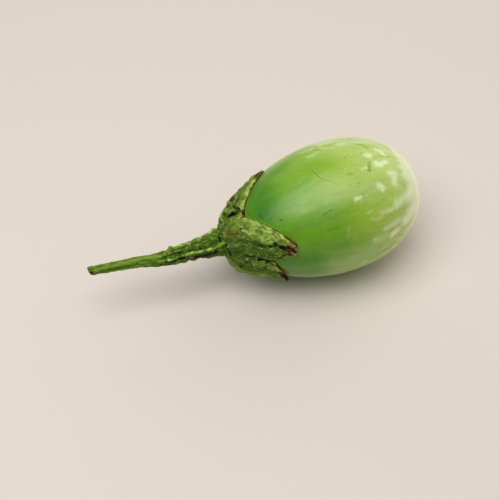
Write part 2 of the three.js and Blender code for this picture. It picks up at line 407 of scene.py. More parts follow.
# dark specks, in about a third of the cells
def addSpecks(tree, colour, place):
    spacing = skin["speckSpacing"]
    widest = skin["speckSize"] / spacing
    celled = addNode(tree, "VectorMath", {0: place, "Scale": 1 / spacing}, operation="SCALE")
    cells = addNode(tree, "TexVoronoi", {"Vector": celled, "Scale": 1.0})
    chosen = addNode(tree, "SeparateColor", {0: cells.outputs["Color"]})
    sizes = {0: chosen, 1: skin["bareCells"], 2: 1.0, 3: 0.0, 4: widest * skin["largestSpeck"]}
    size = addNode(tree, "MapRange", sizes)
    inside = addNode(tree, "Math", {0: size, 1: cells.outputs["Distance"]}, operation="SUBTRACT")
    spot = addNode(tree, "MapRange", {0: inside, 1: 0.0, 2: widest, 3: 0.0, 4: skin["speckStrength"]})
    specked = addNode(tree, "Mix", {0: spot, 6: colour, 7: linear(skin["speck"])}, data_type="RGBA")
    return specked.outputs[2]


scratch = {
    "places": [(49.7, 0), (50.8, 6.5), (51.9, 12.5), (53.6, 16), (55.6, 18.8), (57.5, 23.2)],
    "width": 0.3,  # half of it
    "core": 0.3,  # the share of that width at full strength
    "strokes": [(-0.6, 0.12, "cream"), (0, 0.75, "scratch")],  # shift aside, strength and tint
    "startsOver": 0.6,
    "fades": (0.45, 1.1),  # shares of its length
}
scratchLength = float(np.linalg.norm(np.diff(skinLine(scratch["places"]), axis=0), axis=1).sum())


# the scratch: a thin dark line with a faint lit lip beside it, fading towards its far end
def addScratch(tree, colour):
    scratched = addNode(tree, "Attribute", attribute_name="scratchPlace").outputs["Vector"]
    lined = addNode(tree, "SeparateXYZ", {0: scratched})
    fadeStart, fadeEnd = (scratchLength * share for share in scratch["fades"])
    fades = {0: lined, 1: fadeStart, 2: fadeEnd, 3: 1.0, 4: 0.0}
    fading = addNode(tree, "MapRange", fades, interpolation_type="SMOOTHSTEP")
    started = addNode(tree, "MapRange", {0: lined, 1: 0.0, 2: scratch["startsOver"]})
    drawn = addNode(tree, "Math", {0: started, 1: fading}, operation="MULTIPLY")
    width = scratch["width"]
    for shift, strength, tint in scratch["strokes"]:
        moved = addNode(tree, "Math", {0: lined.outputs["Y"], 1: shift}, operation="SUBTRACT")
        apart = addNode(tree, "Math", {0: moved}, operation="ABSOLUTE")
        edge = {0: apart, 1: width * scratch["core"], 2: width, 3: strength, 4: 0.0}
        thin = addNode(tree, "MapRange", edge)
        shown = addNode(tree, "Math", {0: thin, 1: drawn}, operation="MULTIPLY")
        mixed = addNode(tree, "Mix", {0: shown, 6: colour, 7: linear(skin[tint])}, data_type="RGBA")
        colour = mixed.outputs[2]
    return colour


# Waxy eggplant skin: smooth and softly glossy, with cream flecks whose edges feather along the fruit.
# Its colour holds painted light: lighter where it faces up, with painted highlights and painted shade.
def waxySkin():
    material, tree = newMaterial("waxySkin")
    place, sources = gatherSources(tree, "skinPlace", ["paintedLitTop", "fromLeaf", *skinMarks], skin["patterns"])
    distance = addNode(tree, "SeparateXYZ", {0: place}).outputs["X"]
    toScar = addNode(tree, "Math", {0: float(meridianLength), 1: distance}, operation="SUBTRACT")
    sources["toScar"] = toScar.outputs[0]
    colour = groundColour(tree, distance, sources)
    colour = layTints(tree, colour, sources, skin, skin["tints"])
    colour = addSpecks(tree, colour, place)
    colour = addScratch(tree, colour)
    colour = layTints(tree, colour, sources, skin, skin["scarTints"])

    # the wax: a soft gloss, very slightly pebbled
    (least, most), (smoothest, roughest) = skin["glossOver"], skin["roughness"]
    uneven = {0: sources["mottle"], 1: least, 2: most, 3: smoothest, 4: roughest}
    gloss = addNode(tree, "MapRange", uneven)
    pebbles = addNode(tree, "VectorMath", {0: place, "Scale": 1 / skin["pebbleSize"]}, operation="SCALE")
    pebbled = addNode(tree, "TexNoise", {"Vector": pebbles, "Scale": 1.0, "Detail": 3.0})
    addSurface(tree, colour, pebbled.outputs["Fac"], skin, {"Roughness": gloss})
    return material


# marks on the skin by colour, as (half width, strength, places)
skinMarks = {
    "cream": [
        (1.35, 1, [(74.4, 2.4), (76.4, 1.6)]), (0.6, 0.7, [(76.2, -1.2), (76.8, -0.8)]),
        (1.15, 0.95, [(80.8, -4.2), (82.6, -3.6)]), (1.7, 0.95, [(83, -2.6), (83.2, 0.2)]),
        (1.6, 1, [(76.4, 13.9), (79, 13.8)]), (1.35, 0.95, [(79, 13.6), (82.4, 11.8)]),
        (0.95, 0.75, [(69.9, 15.8), (71.3, 15)]), (1.2, 0.9, [(80.6, 24.4), (82.6, 25.4)]),
        (2.6, 0.85, [(83.6, 26.6), (83, 30), (82.4, 34)]), (1.25, 0.95, [(73.4, 33.6), (74.8, 34.8)]),
        (1.3, 0.9, [(75.2, 35.4), (76, 36), (75.6, 37.4)]), (0.95, 0.9, [(61.9, 38.5), (64, 38.4)]),
        (0.55, 0.6, [(66.6, 39.2), (67.8, 38.9)]), (0.75, 0.55, [(76.8, 48.2), (77.9, 47.6)]),
        (0.8, 0.55, [(66, 53.2), (67.6, 51.8)]), (0.5, 0.5, [(67.9, -2.6), (68.8, -1.8)]),
        (0.5, 0.3, [(54.4, 9), (55.2, 9.6)]), (0.5, 0.3, [(43.4, 44.2), (43.8, 45.2)]),
        (0.4, 0.45, [(50.7, 39.2), (51.3, 39.2)]), (3.4, 0.5, [(75, -24), (82, -20), (85, -8)]),
        (3.2, 0.6, [(67, -20), (74, -20), (82, -20.5)]),
        (2.8, 1, [(93.5, -12), (93, 4), (93, 18), (94, 30), (94.5, 44)]),
        # across the top, under the rim
        (1.2, 0.75, [(74.2, -18.6), (77, -16.6)]), (1, 0.7, [(79.6, -18), (82.4, -17.2)]),
        (1.3, 0.6, [(76, -30), (82, -27)]), (1.5, 0.6, [(66, -29.5), (70, -26)]),
        (1.4, 0.55, [(59, -22), (63, -16)]), (1, 0.6, [(50, -28), (55.5, -27)]),
        (2.2, 0.8, [(58, -37), (66, -38), (76, -36)]),
        # tongues that reach back from the cream end
        (3.6, 1.1, [(93.5, 50), (89, 51.5)]), (2.3, 0.95, [(88, 51), (84, 53), (80.6, 54.6)]),
        (1.3, 0.65, [(80.6, 54.6), (77, 57), (72.5, 57.2)]), (1, 0.5, [(72, 59.6), (67.6, 60.2)]),
        (3.6, 1, [(95, 76), (91, 75), (86.5, 74.5)]), (2.6, 0.7, [(90, 86), (84, 82)]),
        (2.4, 0.7, [(84, 79), (78, 79)]), (1.9, 0.8, [(84, 74.4), (79, 72.8), (73, 73.6)]),
        (2, 1.05, [(75, 83.6), (78.9, 82.4)]), (3, 0.5, [(68, 81), (80, 84)]),
        (3, 0.4, [(72, 92), (84, 94)]), (0.9, 0.75, [(66.4, 78.8), (69, 79.6)]),
        (1, 0.65, [(70.6, 94), (73.2, 97)]), (1.3, 0.85, [(76.6, 106), (78.4, 112)]),
        (1.1, 0.7, [(84, 91), (88, 97)]), (1, 0.7, [(90, 88), (92, 95)]), (1, 0.6, [(80, 98), (83, 104)]),
    ],
    "pale": [
        (2.6, 0.6, [(94, 50), (89, 51)]), (2.8, 1, [(93, 75.5), (88, 77), (84.5, 78)]),
        (1.5, 0.95, [(75.6, 83.4), (78.8, 82.6)]),
    ],
    "blush": [
        (1, 0.8, [(71.6, 56), (73.4, 56.8)]), (0.7, 0.55, [(56.6, 58.4), (55.8, 63), (54.9, 67.6)]),
    ],
    "olive": [
        (0.9, 0.85, [(74.5, 10.4), (73.4, 13.4)]), (1.05, 0.95, [(73.4, 13.8), (72.5, 18.2)]),
        (1, 0.95, [(69.6, -19.4), (72, -18)]), (0.8, 0.9, [(72, -17.6), (74.6, -13.8), (76.2, -11.4)]),
        (0.85, 1, [(76.2, -11), (76.9, -7.6)]), (0.9, 0.9, [(56.8, -20.8), (57.6, -19.8)]),
        (0.7, 0.6, [(66, -13.8), (67.4, -13.4)]), (0.7, 0.55, [(72.2, 0.4), (73.6, -2.6)]),
        (0.9, 0.55, [(78, 5.4), (86, 4.6)]), (0.55, 0.6, [(63.2, 17.2), (65.2, 17.8)]),
        (0.5, 0.6, [(65.2, 35.6), (66.4, 36.2)]), (0.5, 0.55, [(73.2, 45), (75.6, 46)]),
        (0.45, 0.5, [(81.8, 39.6), (83, 39.8)]), (1.7, 0.5, [(86, 37), (87.6, 43)]),
        (2, 0.45, [(70, 61.5), (80, 63), (89, 62)]), (0.9, 0.6, [(74.4, 78.4), (78, 77)]),
        (1.2, 0.7, [(68, 101), (74, 101), (77, 99)]), (1, 0.7, [(80, 92), (83, 100)]),
        (0.55, 0.8, [(47.2, 42.8), (49.2, 41.6), (51.3, 40.6)]), (0.6, 0.6, [(40.6, 42.4), (44, 41.6)]),
        (0.7, 0.8, [(47.6, 56.5), (52.2, 55.9)]), (1, 0.7, [(45.6, 66.4), (53.8, 66.4)]),
        (0.6, 0.6, [(49.6, 2.2), (52.4, 1.6), (55, 0.4)]),
        (0.7, 0.55, [(41, 11.4), (43.6, 10), (47.6, 8.4)]), (0.6, 0.5, [(34, 5.4), (38, 6.2)]),
    ],
    # deep green by the stem end is the fruit's own; the marks from 70 degrees round are painted shade
    "deepAndPaintedShade": [
        (7.5, 0.85, [(25, -18), (26, -4), (25, 8), (24, 18)]), (5, 0.5, [(32, -24), (40, -20)]),
        (6.5, 0.8, [(22, 92), (32, 88), (40, 84)]), (4, 0.45, [(40, 70), (54, 74)]),
        (3, 0.4, [(35, 48), (43, 45.5), (52, 43.5)]), (3, 0.35, [(50, 84), (52, 92)]),
        (6.5, 0.9, [(24, 112), (42, 107)]),
    ],
    "nick": [
        (0.6, 1, [(30, 34.4), (30.3, 34.8)]), (0.5, 1, [(21.9, 16.6), (22.2, 21), (23, 25.4)]),
        (0.5, 0.6, [(65.1, -0.2), (65.4, 0.4)]), (0.5, 0.5, [(34.2, 25.4), (34.6, 25.8)]),
        (0.5, 0.45, [(43.7, 17), (44.1, 17.4)]), (0.5, 0.45, [(65.4, 26), (66.2, 26.4)]),
        (0.5, 0.4, [(61.4, 26.4), (62.2, 26.6)]),
        (0.38, 0.62, [(47.2, 42.8), (49.2, 41.4), (51.3, 40.8)]),
        (0.38, 0.42, [(47.6, 56.5), (52.2, 55.9)]),
    ],
    # painted reflection: a dark bluish-green patch near the calyx
    "paintedBluishReflection": [(2.6, 0.7, [(23.5, 10), (24.5, 24)])],
    # lime green of the fruit's own; the mark from -22 to -38 degrees along the upper edge is painted shade
    "limeAndPaintedShade": [
        (6, 0.95, [(36, 52.5), (47, 48.5)]), (6, 0.45, [(48, -6), (57, 4)]),
        (5, 0.5, [(33, -22), (42, -30), (52, -38)]),
    ],
    # painted highlight: soft pale reflections across the middle, over the top and low on the near side
    "milkyAndPaintedHighlight": [
        (7, 0.65, [(51, 100), (58, 96), (64, 93)]), (6, 0.35, [(42, 31), (52, 34)]),
        (6.5, 0.5, [(51, 33), (62, 32), (71, 35)]), (4.5, 0.5, [(54, -34), (66, -36), (80, -34)]),
    ],
}

# flecks and tongues for the side that faces away. Pairs are ranges to choose from.
hiddenSide = {
    "turns": (106, 346),  # degrees round the fruit
    "seed": 12,
    "flecks": 46,
    "fleckStart": 90,  # at the edge of the pale blossom end
    "fleckReach": 36,
    "fleckCrowding": 1.5,  # towards that edge
    "fleckStrength": (0.5, 0.95),
    "fleckHalf": (0.6, 2.8),  # half the length of one of its dabs
    "fleckWidth": (0.7, 1.5),
    "fleckDabs": (1, 4),  # at least the first, and fewer than the second
    "fleckStep": 2.5,  # between dabs
    "tongues": 9,
    "tongueRoot": 93,
    "tongueWaist": 87,
    "tongueBack": (68, 80),
    "tongueLean": 6,
    "tongueParts": [((2.2, 3.2), 0.95), ((1.1, 1.8), 0.8)],  # width and strength before and past the waist
}


def scatteredMarks():
    chance = np.random.default_rng(hiddenSide["seed"])
    start, end = hiddenSide["turns"]
    step, most = hiddenSide["fleckStep"], hiddenSide["tongueLean"]
    root, waist = hiddenSide["tongueRoot"], hiddenSide["tongueWaist"]
    marks = []
    for _ in range(hiddenSide["flecks"]):
        back = hiddenSide["fleckReach"] * chance.random() ** hiddenSide["fleckCrowding"]
        at = hiddenSide["fleckStart"] - back
        turn = chance.uniform(start, end)
        strength = chance.uniform(*hiddenSide["fleckStrength"])
        for _ in range(chance.integers(*hiddenSide["fleckDabs"])):
            half, lean = chance.uniform(*hiddenSide["fleckHalf"]), chance.uniform(-1, 1)
            line = [(at - half, turn - lean), (at + half, turn + lean)]
            marks.append((chance.uniform(*hiddenSide["fleckWidth"]), strength, line))
            at, turn = at + chance.uniform(-step, step), turn + chance.uniform(-step, step)
    for number in range(hiddenSide["tongues"]):
        turn = start + (number + chance.uniform(0.1, 0.9)) * (end - start) / hiddenSide["tongues"]
        back, lean = chance.uniform(*hiddenSide["tongueBack"]), chance.uniform(-most, most)
        stops = [(root, turn), (waist, turn + lean / 2), (back, turn + lean)]
        for index, (width, strength) in enumerate(hiddenSide["tongueParts"]):
            marks.append((chance.uniform(*width), strength, stops[index : index + 2]))
    return marks


def makeFruit():
    distance = np.arange(1, fruit["rows"])[:, None] / fruit["rows"] * meridianLength
    degrees = np.arange(fruit["columns"])[None, :] * 360 / fruit["columns"]
    distance, degrees = np.broadcast_arrays(distance, degrees)
    bare = overSkin(distance, degrees)
    dimple = fruit["scarDepth"] * bell(meridianLength - distance, fruit["scarRadius"])
    depth, spacing, seed = fruit["dents"]
    dents = depth * (fruit["dentFill"] + ripple(bare, spacing, seed))
    rings = laid(overSkin(distance, degrees, -dimple - np.maximum(dents, 0)))
    ends = laid(overSkin(np.array([0, meridianLength]), 0, np.array([0, -fruit["scarDepth"]])))
    rings[..., 2] = np.maximum(rings[..., 2], 0)

    along, across, _ = besideLine(bare, skinLine(scratch["places"]))
    paintedLitTop = fruit["paintedLitTop"]
    # painted light from above: the skin is lighter where it faces up
    facing = np.cos(np.radians(degrees) + np.radians(paintedLitTop["turn"]))
    masks = {
        "skinPlace": roundLine(distance, degrees, fruit["radius"]),
        "paintedLitTop": smooth(facing, paintedLitTop["from"], paintedLitTop["full"]),
        "fromLeaf": distance - reachAt(degrees),
        "scratchPlace": np.stack([along, across, np.zeros_like(along)], axis=-1),
    }
    uneven = astray(astray(bare, *fruit["broadWander"]), *fruit["fineWander"])
    for label, marks in skinMarks.items():
        drawnAt = bare if label in fruit["steadyMarks"] else uneven
        scattered = scatteredMarks() if label == "cream" else []
        masks[label] = marksAt(drawnAt, marks + scattered, skinLine)
    return closedMesh("waxyFruit", rings, ends, masks)


calyx = {
    "gap": 0.3,
    "bladeThickness": 1.2,
    "crownThickness": 6,
    "crownSpread": 9,
    "seatHeight": 4.6,
    "pointBulge": 0.4,
    "keelStart": 12,  # where the keels stand at their full height
    "keelEnd": 0.92,  # a share of the way to the point
    "keelHighlight": 1.1,  # half the width of its painted highlight
    "keelHighlightStarts": (4, 12),
    "keelHighlightFades": (0.7, 1),  # shares of the way to the point
    "keelHighlightLoss": 0.6,
    "grooveDepth": 1,
    "grooveWidth": 1.5,
    "grooveStarts": (0.3, 0.6),  # shares of the way to the notch
    # how strongly grooves and folds take painted shade, and ribs painted highlight
    "grooveShade": 0.6,
    "ribLight": 0.8,
    "foldShade": 0.5,
    "foldShadePerMm": 0.4,
    "marginThickness": 0.5,
    "marginWidth": 2.4,
    "crinkle": 0.16,
    "waves": [(0.9, 7, 0), (-0.55, 11, 1.3)],  # per mm, per radian round the fruit, and where they start
    "columnsOnSide": 40,  # of each sepal, from a notch to its point
    "columnsOnPoint": 16,
    "outerRows": 130,
    "innerRows": 20,
    "skinGap": 0.04,  # between the calyx and the skin
    "edgeRounding": 0.5,
    "edgeWaver": (0.16, 2.6, 21),  # to and fro along the edge: amount, spacing and seed
    "lipHeight": 0.16,  # of the rolled margin
    "lipAt": 0.75,  # from the edge
    "lipWidth": 0.5,
    "dryStart": 5.5,  # how far before a point it begins to be dry
    "dryPast": 0.3,  # how far past the point it would be quite dry
    "napRadius": 17,  # where the nap's patterns keep their true width
    "lumps": [(0.13, 3.2, 8), (0.11, 1.5, 9)],  # height, spacing and seed
    "wander": (2.2, 0.25, 61),  # how the outlines of marks stray: spacing, amount and seed
    "wanderingMarks": ("lit", "dim", "dryAndPaintedShade", "brightAndPaintedHighlight"),  # broad ones, whose outline strays
}

# each sepal runs from the notch before it to the two corners of its blunt point
sepals = [
    {
        "notch": {"angle": 7, "length": 15.6, "root": 310},
        "point": {"from": 60, "to": 73, "length": 33.5, "curled": 6, "lift": 1.2},
        "bend": {"before": 1.25, "after": 0.9},
        "keel": {"height": 1.9, "before": 3.0, "after": 1.15, "fades": 0.6},
        "keelLine": [(5, 15), (10, 19), (13, 25), (14.7, 31.5), (17.3, 42.5), (19.8, 51), (24.1, 55.5)]
        + [(26.8, 58.8), (30, 61), (33, 63)],
    },
    {
        "notch": {"angle": 84, "length": 21.4, "root": 82},
        "point": {"from": 121, "to": 127, "length": 30, "curled": 4, "lift": 1.5},
        "bend": {"before": 0.75, "after": 0.9},
        "keel": {"height": 3.6, "before": 3.6, "after": 3.6, "fades": 0.3},
        "keelLine": [(0.5, 145), (15, 134.5), (30, 124)],
    },
    {
        "notch": {"angle": 163, "length": 18, "root": 166},
        "point": {"from": 192, "to": 199, "length": 29, "curled": 8, "lift": 0.6},
        "bend": {"before": 0.95, "after": 1},
        "keel": {"height": 1.6, "before": 1.7, "after": 1.7, "fades": 0.4},
        "keelLine": [(0.5, 190), (29, 195.5)],
    },
    {
        "notch": {"angle": 228, "length": 17.5, "root": 224},
        "point": {"from": 255, "to": 260, "length": 32.5, "curled": 8, "lift": 1.6},
        "bend": {"before": 0.85, "after": 1.1},
        "keel": {"height": 1.9, "before": 1.7, "after": 1.7, "fades": 0.5},
        "keelLine": [(0.5, 250), (32.5, 257.5)],
    },
    {
        "notch": {"angle": 287, "length": 17, "root": 280},
        "point": {"from": 314, "to": 319, "length": 33.5, "curled": 8, "lift": 0.2},
        "bend": {"before": 1.1, "after": 1.9},
        "keel": {"height": 1.65, "before": 1.7, "after": 1.7, "fades": 0.45},
        "keelLine": [(0.5, 307), (33.5, 316.5)],
    },
]

# lines on the calyx as (half width, height, places): thin ribs, and below 0 folds that are pressed in
calyxLines = [
    (0.6, 0.6, [(4, 78), (8, 55), (12, 53.8), (15.6, 56), (17.5, 61.2), (19.9, 63.2)]
        + [(24.4, 66.2), (29, 67)]),
    (0.4, 0.25, [(13, 68.2), (14.2, 74.2), (14.5, 84)]),
    (0.4, 0.22, [(14.6, 92), (15.3, 112), (16.2, 134)]),
    (0.45, 0.25, [(18, 47), (21, 40), (24, 38)]),
    (0.45, 0.22, [(22, 54), (25.5, 48), (28, 47)]),
    (0.45, 0.22, [(18, 118), (21, 108), (23, 98)]),
    (0.45, 0.25, [(12, 310), (17, 325), (21, 333)]),
    (0.8, -1.2, [(6.5, 312), (7.8, 328.2), (9.5, 336.2), (11.5, 342.5), (13.3, 346)]
        + [(14.9, 350), (16, 358)]),
    (0.8, -0.55, [(10, 46), (14, 51.5), (17, 57), (20, 59.5), (24, 60.5), (29, 64)]),
    (0.7, -0.9, [(12, 84), (17, 83.8), (21, 83.8)]),
    (0.9, -1.3, [(4.5, 150), (6.2, 151), (9, 152)]),
    (0.5, -0.6, [(25.3, 57.4), (26, 58)]),
    (0.5, -0.5, [(28.2, 62), (29.2, 63)]),
]

# marks on the calyx by colour, as (half width, strength, places)
sepalMarks = {
    # painted light on the faces and crests that meet the lamps
    "lit": [
        (2, 0.8, [(16.5, 23), (20.2, 39), (23.7, 47), (26.2, 53)]),
        (1.2, 0.9, [(18, 37), (21.3, 48), (24.7, 53)]), (1, 0.7, [(13.8, -3), (14.5, 16)]),
        (1.6, 0.9, [(27.5, -36), (24, -27), (20.4, -18), (17.4, -8)]),
        (1, 0.8, [(11.6, 26), (15.6, 35), (17.2, 41)]),
        (0.7, 0.7, [(5.8, 57), (9.5, 53), (12, 56), (14.4, 62)]), (0.8, 0.6, [(18.6, 82), (22.5, 81)]),
        (1.2, 0.9, [(18.9, 121), (25.1, 114)]), (1, 0.7, [(16.6, 94), (20.6, 96), (24.1, 100)]),
        (0.7, 0.8, [(6, 116), (8.3, 123), (11, 126)]), (0.9, 0.6, [(11, 126), (14.8, 128), (19, 122)]),
        (0.6, 0.7, [(27.2, 67), (29, 66)]), (0.5, 0.7, [(21, 78), (23.2, 70), (24.7, 66)]),
        (0.5, 0.6, [(11.2, 67), (11, 84), (11.9, 96)]), (0.7, 0.8, [(5.9, -31), (9.2, -46), (12.4, -44)]),
        (0.8, 0.7, [(6.4, 14), (5.9, 26)]),
    ],
    # painted highlight along lobe margins and crests
    "brightAndPaintedHighlight": [
        (0.55, 1, [(15.8, 0), (17.7, -10), (21, -19), (24.2, -28), (28.5, -36)]),
        (0.6, 1, [(20.1, 34), (23.3, 41), (26, 47), (29.6, 53)]), (0.5, 0.7, [(16.8, 18), (19.3, 28)]),
        (0.45, 0.9, [(22.4, 89), (24.7, 96)]),
    ],
    "pale": [
        (0.5, 0.7, [(15.2, 32), (16.2, 36)]), (0.5, 0.8, [(13.9, 23), (14.7, 24)]),
        (0.5, 0.8, [(13.3, 77), (14.4, 75)]), (0.45, 0.8, [(11.8, 90), (12.1, 90)]),
        (0.45, 0.8, [(15.2, 85), (15.4, 86)]), (0.4, 0.8, [(19.3, 62), (19.6, 62)]),
        (0.6, 0.9, [(5.3, 51), (5.7, 55)]), (0.5, 0.7, [(12.7, -23), (13.2, -21)]),
        (0.45, 0.7, [(14.5, 96), (14.8, 100)]), (0.5, 0.7, [(18, -40), (17.3, -31)]),
        (0.45, 0.9, [(9.6, -24), (10.4, -21)]), (0.4, 0.9, [(11.6, -27), (12.2, -25)]),
        (0.5, 0.8, [(15.8, -22), (16.8, -20)]), (0.4, 0.8, [(7.2, -18), (7.8, -15)]),
    ],
    # painted shade on the lower faces and below the crests
    "dim": [
        (2.8, 0.95, [(7.3, 66), (9.4, 77), (11.4, 89)]),
        (1.5, 0.95, [(17.2, 56), (22.2, 62), (25.9, 65), (29.4, 66)]), (2, 0.55, [(18.1, 68), (23, 71)]),
        (1.5, 0.75, [(5.8, 34), (8.4, 47), (10.6, 49), (14.3, 53)]), (1.4, 0.8, [(6.3, -6), (8.9, -3)]),
        (1.7, 0.6, [(7.9, 106), (11.9, 102)]), (2.7, 0.8, [(11, 78), (18, 75), (23, 74)]),
        (2.4, 0.5, [(8, 118), (13, 114), (18, 112)]), (1.6, 0.6, [(9, -14), (12, -10)]),
        (1.8, 0.55, [(12.5, -24), (16, -27), (20, -35)]), (3, 0.65, [(9, 59), (12.5, 62), (16, 70)]),
        (0.9, 0.8, [(15.3, 57), (17.9, 62), (20.2, 65)]), (1, 0.6, [(28.5, 56), (26.9, 56)]),
        (3.2, 0.6, [(12, 112), (18, 109), (25, 108)]),
    ],
    "dryAndPaintedShade": [
        (1.9, 0.9, [(8.8, 23), (10.8, 30)]), (1, 0.6, [(6.5, 32), (7.7, 39)]),
        (0.9, 0.6, [(11.8, 47), (15, 51)]), (0.8, 0.7, [(14.5, 16), (14.7, 8)]),
        (0.9, 0.6, [(11.4, 115), (12, 122)]), (1.2, 0.5, [(15.2, 109), (18.3, 108)]),
        (0.9, 0.5, [(13.4, -28), (17.6, -31), (21.5, -38)]),
    ],
    "maroon": [
        (1.1, 1, [(27.4, 112), (28.6, 116), (30, 120)]), (0.7, 0.9, [(32, 66), (33, 69)]),
        (0.5, 0.9, [(30.2, 63), (31.4, 64)]), (0.5, 0.8, [(29.6, 72), (30.6, 73)]),
        (0.4, 0.9, [(15.6, -2), (15.9, 3)]),
    ],
    # dark spots; those at the crease by the stalk's foot and below the crest at 57 to 65 degrees are
    # painted shade
    "blackAndPaintedShade": [
        (0.5, 1, [(3.3, 30), (4, 46), (5.2, 51)]), (0.5, 0.9, [(5.3, 63), (5.9, 74), (6.3, 90)]),
        (0.42, 0.9, [(7.4, -30), (8.8, -27)]), (0.45, 1, [(9.9, -26), (11.2, -22)]),
        (0.5, 1, [(11.9, -20), (12.4, -18)]), (0.4, 0.65, [(14.7, -30), (14.4, -19), (15.9, -10)]),
        (0.45, 0.8, [(17.3, -31), (17.2, -29)]), (0.6, 1, [(25.4, 57), (25.6, 60)]),
        (0.45, 0.9, [(22.5, 59), (23.2, 61)]), (0.5, 0.9, [(19.3, 57), (19.3, 60)]),
        (0.6, 1, [(27.1, 63), (28.8, 65)]), (0.5, 0.9, [(30.4, 62), (30.9, 62)]),
        (0.35, 0.9, [(16.2, 87), (19, 85), (21.5, 86)]), (0.55, 1, [(20.2, 87), (21.1, 86)]),
        (0.55, 0.7, [(10.1, 116), (10.8, 117)]), (0.4, 0.6, [(11.7, 99), (11.8, 100)]),
        (0.4, 0.6, [(14, 101), (14.3, 104)]), (0.4, 0.55, [(13.3, 94), (13.4, 93)]),
        (0.4, 0.7, [(13.8, 26), (14.2, 27)]),
    ],
    "rust": [
        (0.7, 1, [(16.5, -4), (15.5, 3)]), (0.5, 0.9, [(14.7, 6), (15.5, 7)]),
        (1.5, 1, [(30.5, 66), (32, 67), (31, 73)]), (0.8, 1, [(34.1, 62), (33.2, 67)]),
        (0.6, 1, [(25, 79), (26.9, 75), (28.7, 72)]), (0.7, 0.9, [(10.1, -41), (10.1, -36)]),
        (0.8, 0.9, [(17.4, -46), (15.7, -43)]), (0.6, 0.7, [(13.1, -45), (13.9, -44)]),
        (1.5, 1, [(26.3, 108), (27.6, 113), (29.2, 117)]),
        (0.45, 1, [(21.4, 87), (24.4, 94), (26.5, 103)]), (0.9, 1, [(29.8, -38), (31.7, -41)]),
        (0.5, 1, [(30, 52), (32.2, 57), (33.7, 61)]),
    ],
    "tan": [
        (1, 1, [(33.8, 67), (33, 73)]), (0.5, 0.9, [(31.6, 69), (32.2, 71)]),
        (0.5, 0.9, [(30.1, 75), (32.1, 74)]), (0.4, 0.9, [(32.6, 62), (33.2, 63)]),
        (0.4, 0.8, [(28.1, 121), (29.6, 121)]),
    ],
}

# spots and patches for the sepals that face away. Pairs are ranges to choose from.
hiddenSepals = {
    "turns": (140, 300),  # degrees round the fruit
    "reaches": (7, 27),
    "spots": 60,
    "seed": 23,
    "labels": ("lit", "lit", "dim", "dim", "dryAndPaintedShade", "pale", "blackAndPaintedShade", "rust"),
    "broad": ("lit", "dim", "dryAndPaintedShade"),
    "broadWidth": (0.9, 2.2),
    "narrowWidth": (0.4, 0.65),
    "halfLength": (0.3, 1.6),  # times the width
    "strength": (0.6, 0.95),
    "lean": (-5, 5),
}


def scatteredSpots():
    chance = np.random.default_rng(hiddenSepals["seed"])
    spots = {label: [] for label in sepalMarks}
    labels = hiddenSepals["labels"]
    for number in range(hiddenSepals["spots"]):
        label = labels[number % len(labels)]
        at, turn = chance.uniform(*hiddenSepals["reaches"]), chance.uniform(*hiddenSepals["turns"])
        widths = "broadWidth" if label in hiddenSepals["broad"] else "narrowWidth"
        width = chance.uniform(*hiddenSepals[widths])
        half = width * chance.uniform(*hiddenSepals["halfLength"])
        strength, lean = chance.uniform(*hiddenSepals["strength"]), chance.uniform(*hiddenSepals["lean"])
        spots[label].append((width, strength, [(at - half, turn), (at + half, turn + lean)]))
    return spots


# the edge of the whole calyx as arrays over its columns: angle, reach, and which sepal it belongs to
def calyxEdge():
    angles, reaches, owners = [], [], []
    for index, sepal in enumerate(sepals):
        notch, point, bend = sepal["notch"], sepal["point"], sepal["bend"]
        following = sepals[(index + 1) % len(sepals)]["notch"]
        nextAngle = following["angle"] + (360 if index + 1 == len(sepals) else 0)
        side = np.arange(calyx["columnsOnSide"]) / calyx["columnsOnSide"]
        tip = np.arange(calyx["columnsOnPoint"]) / calyx["columnsOnPoint"]
        angles += [
            notch["angle"] + (point["from"] - notch["angle"]) * side,
            point["from"] + (point["to"] - point["from"]) * tip,
            point["to"] + (nextAngle - point["to"]) * side,
        ]
        reaches += [
            notch["length"] + (point["length"] - notch["length"]) * side ** bend["before"],
            point["length"] + calyx["pointBulge"] - 4 * calyx["pointBulge"] * (tip - 0.5) ** 2,
            following["length"] + (point["length"] - following["length"]) * (1 - side) ** bend["after"],
        ]
        owners.append(np.full(2 * len(side) + len(tip), index))
    return np.concatenate(angles), np.concatenate(reaches), np.concatenate(owners)


edgeAngles, edgeReaches, edgeOwners = calyxEdge()


# how far over the skin the calyx reaches at an angle
def reachAt(degrees):
    return np.interp(degrees, edgeAngles, edgeReaches, period=360)


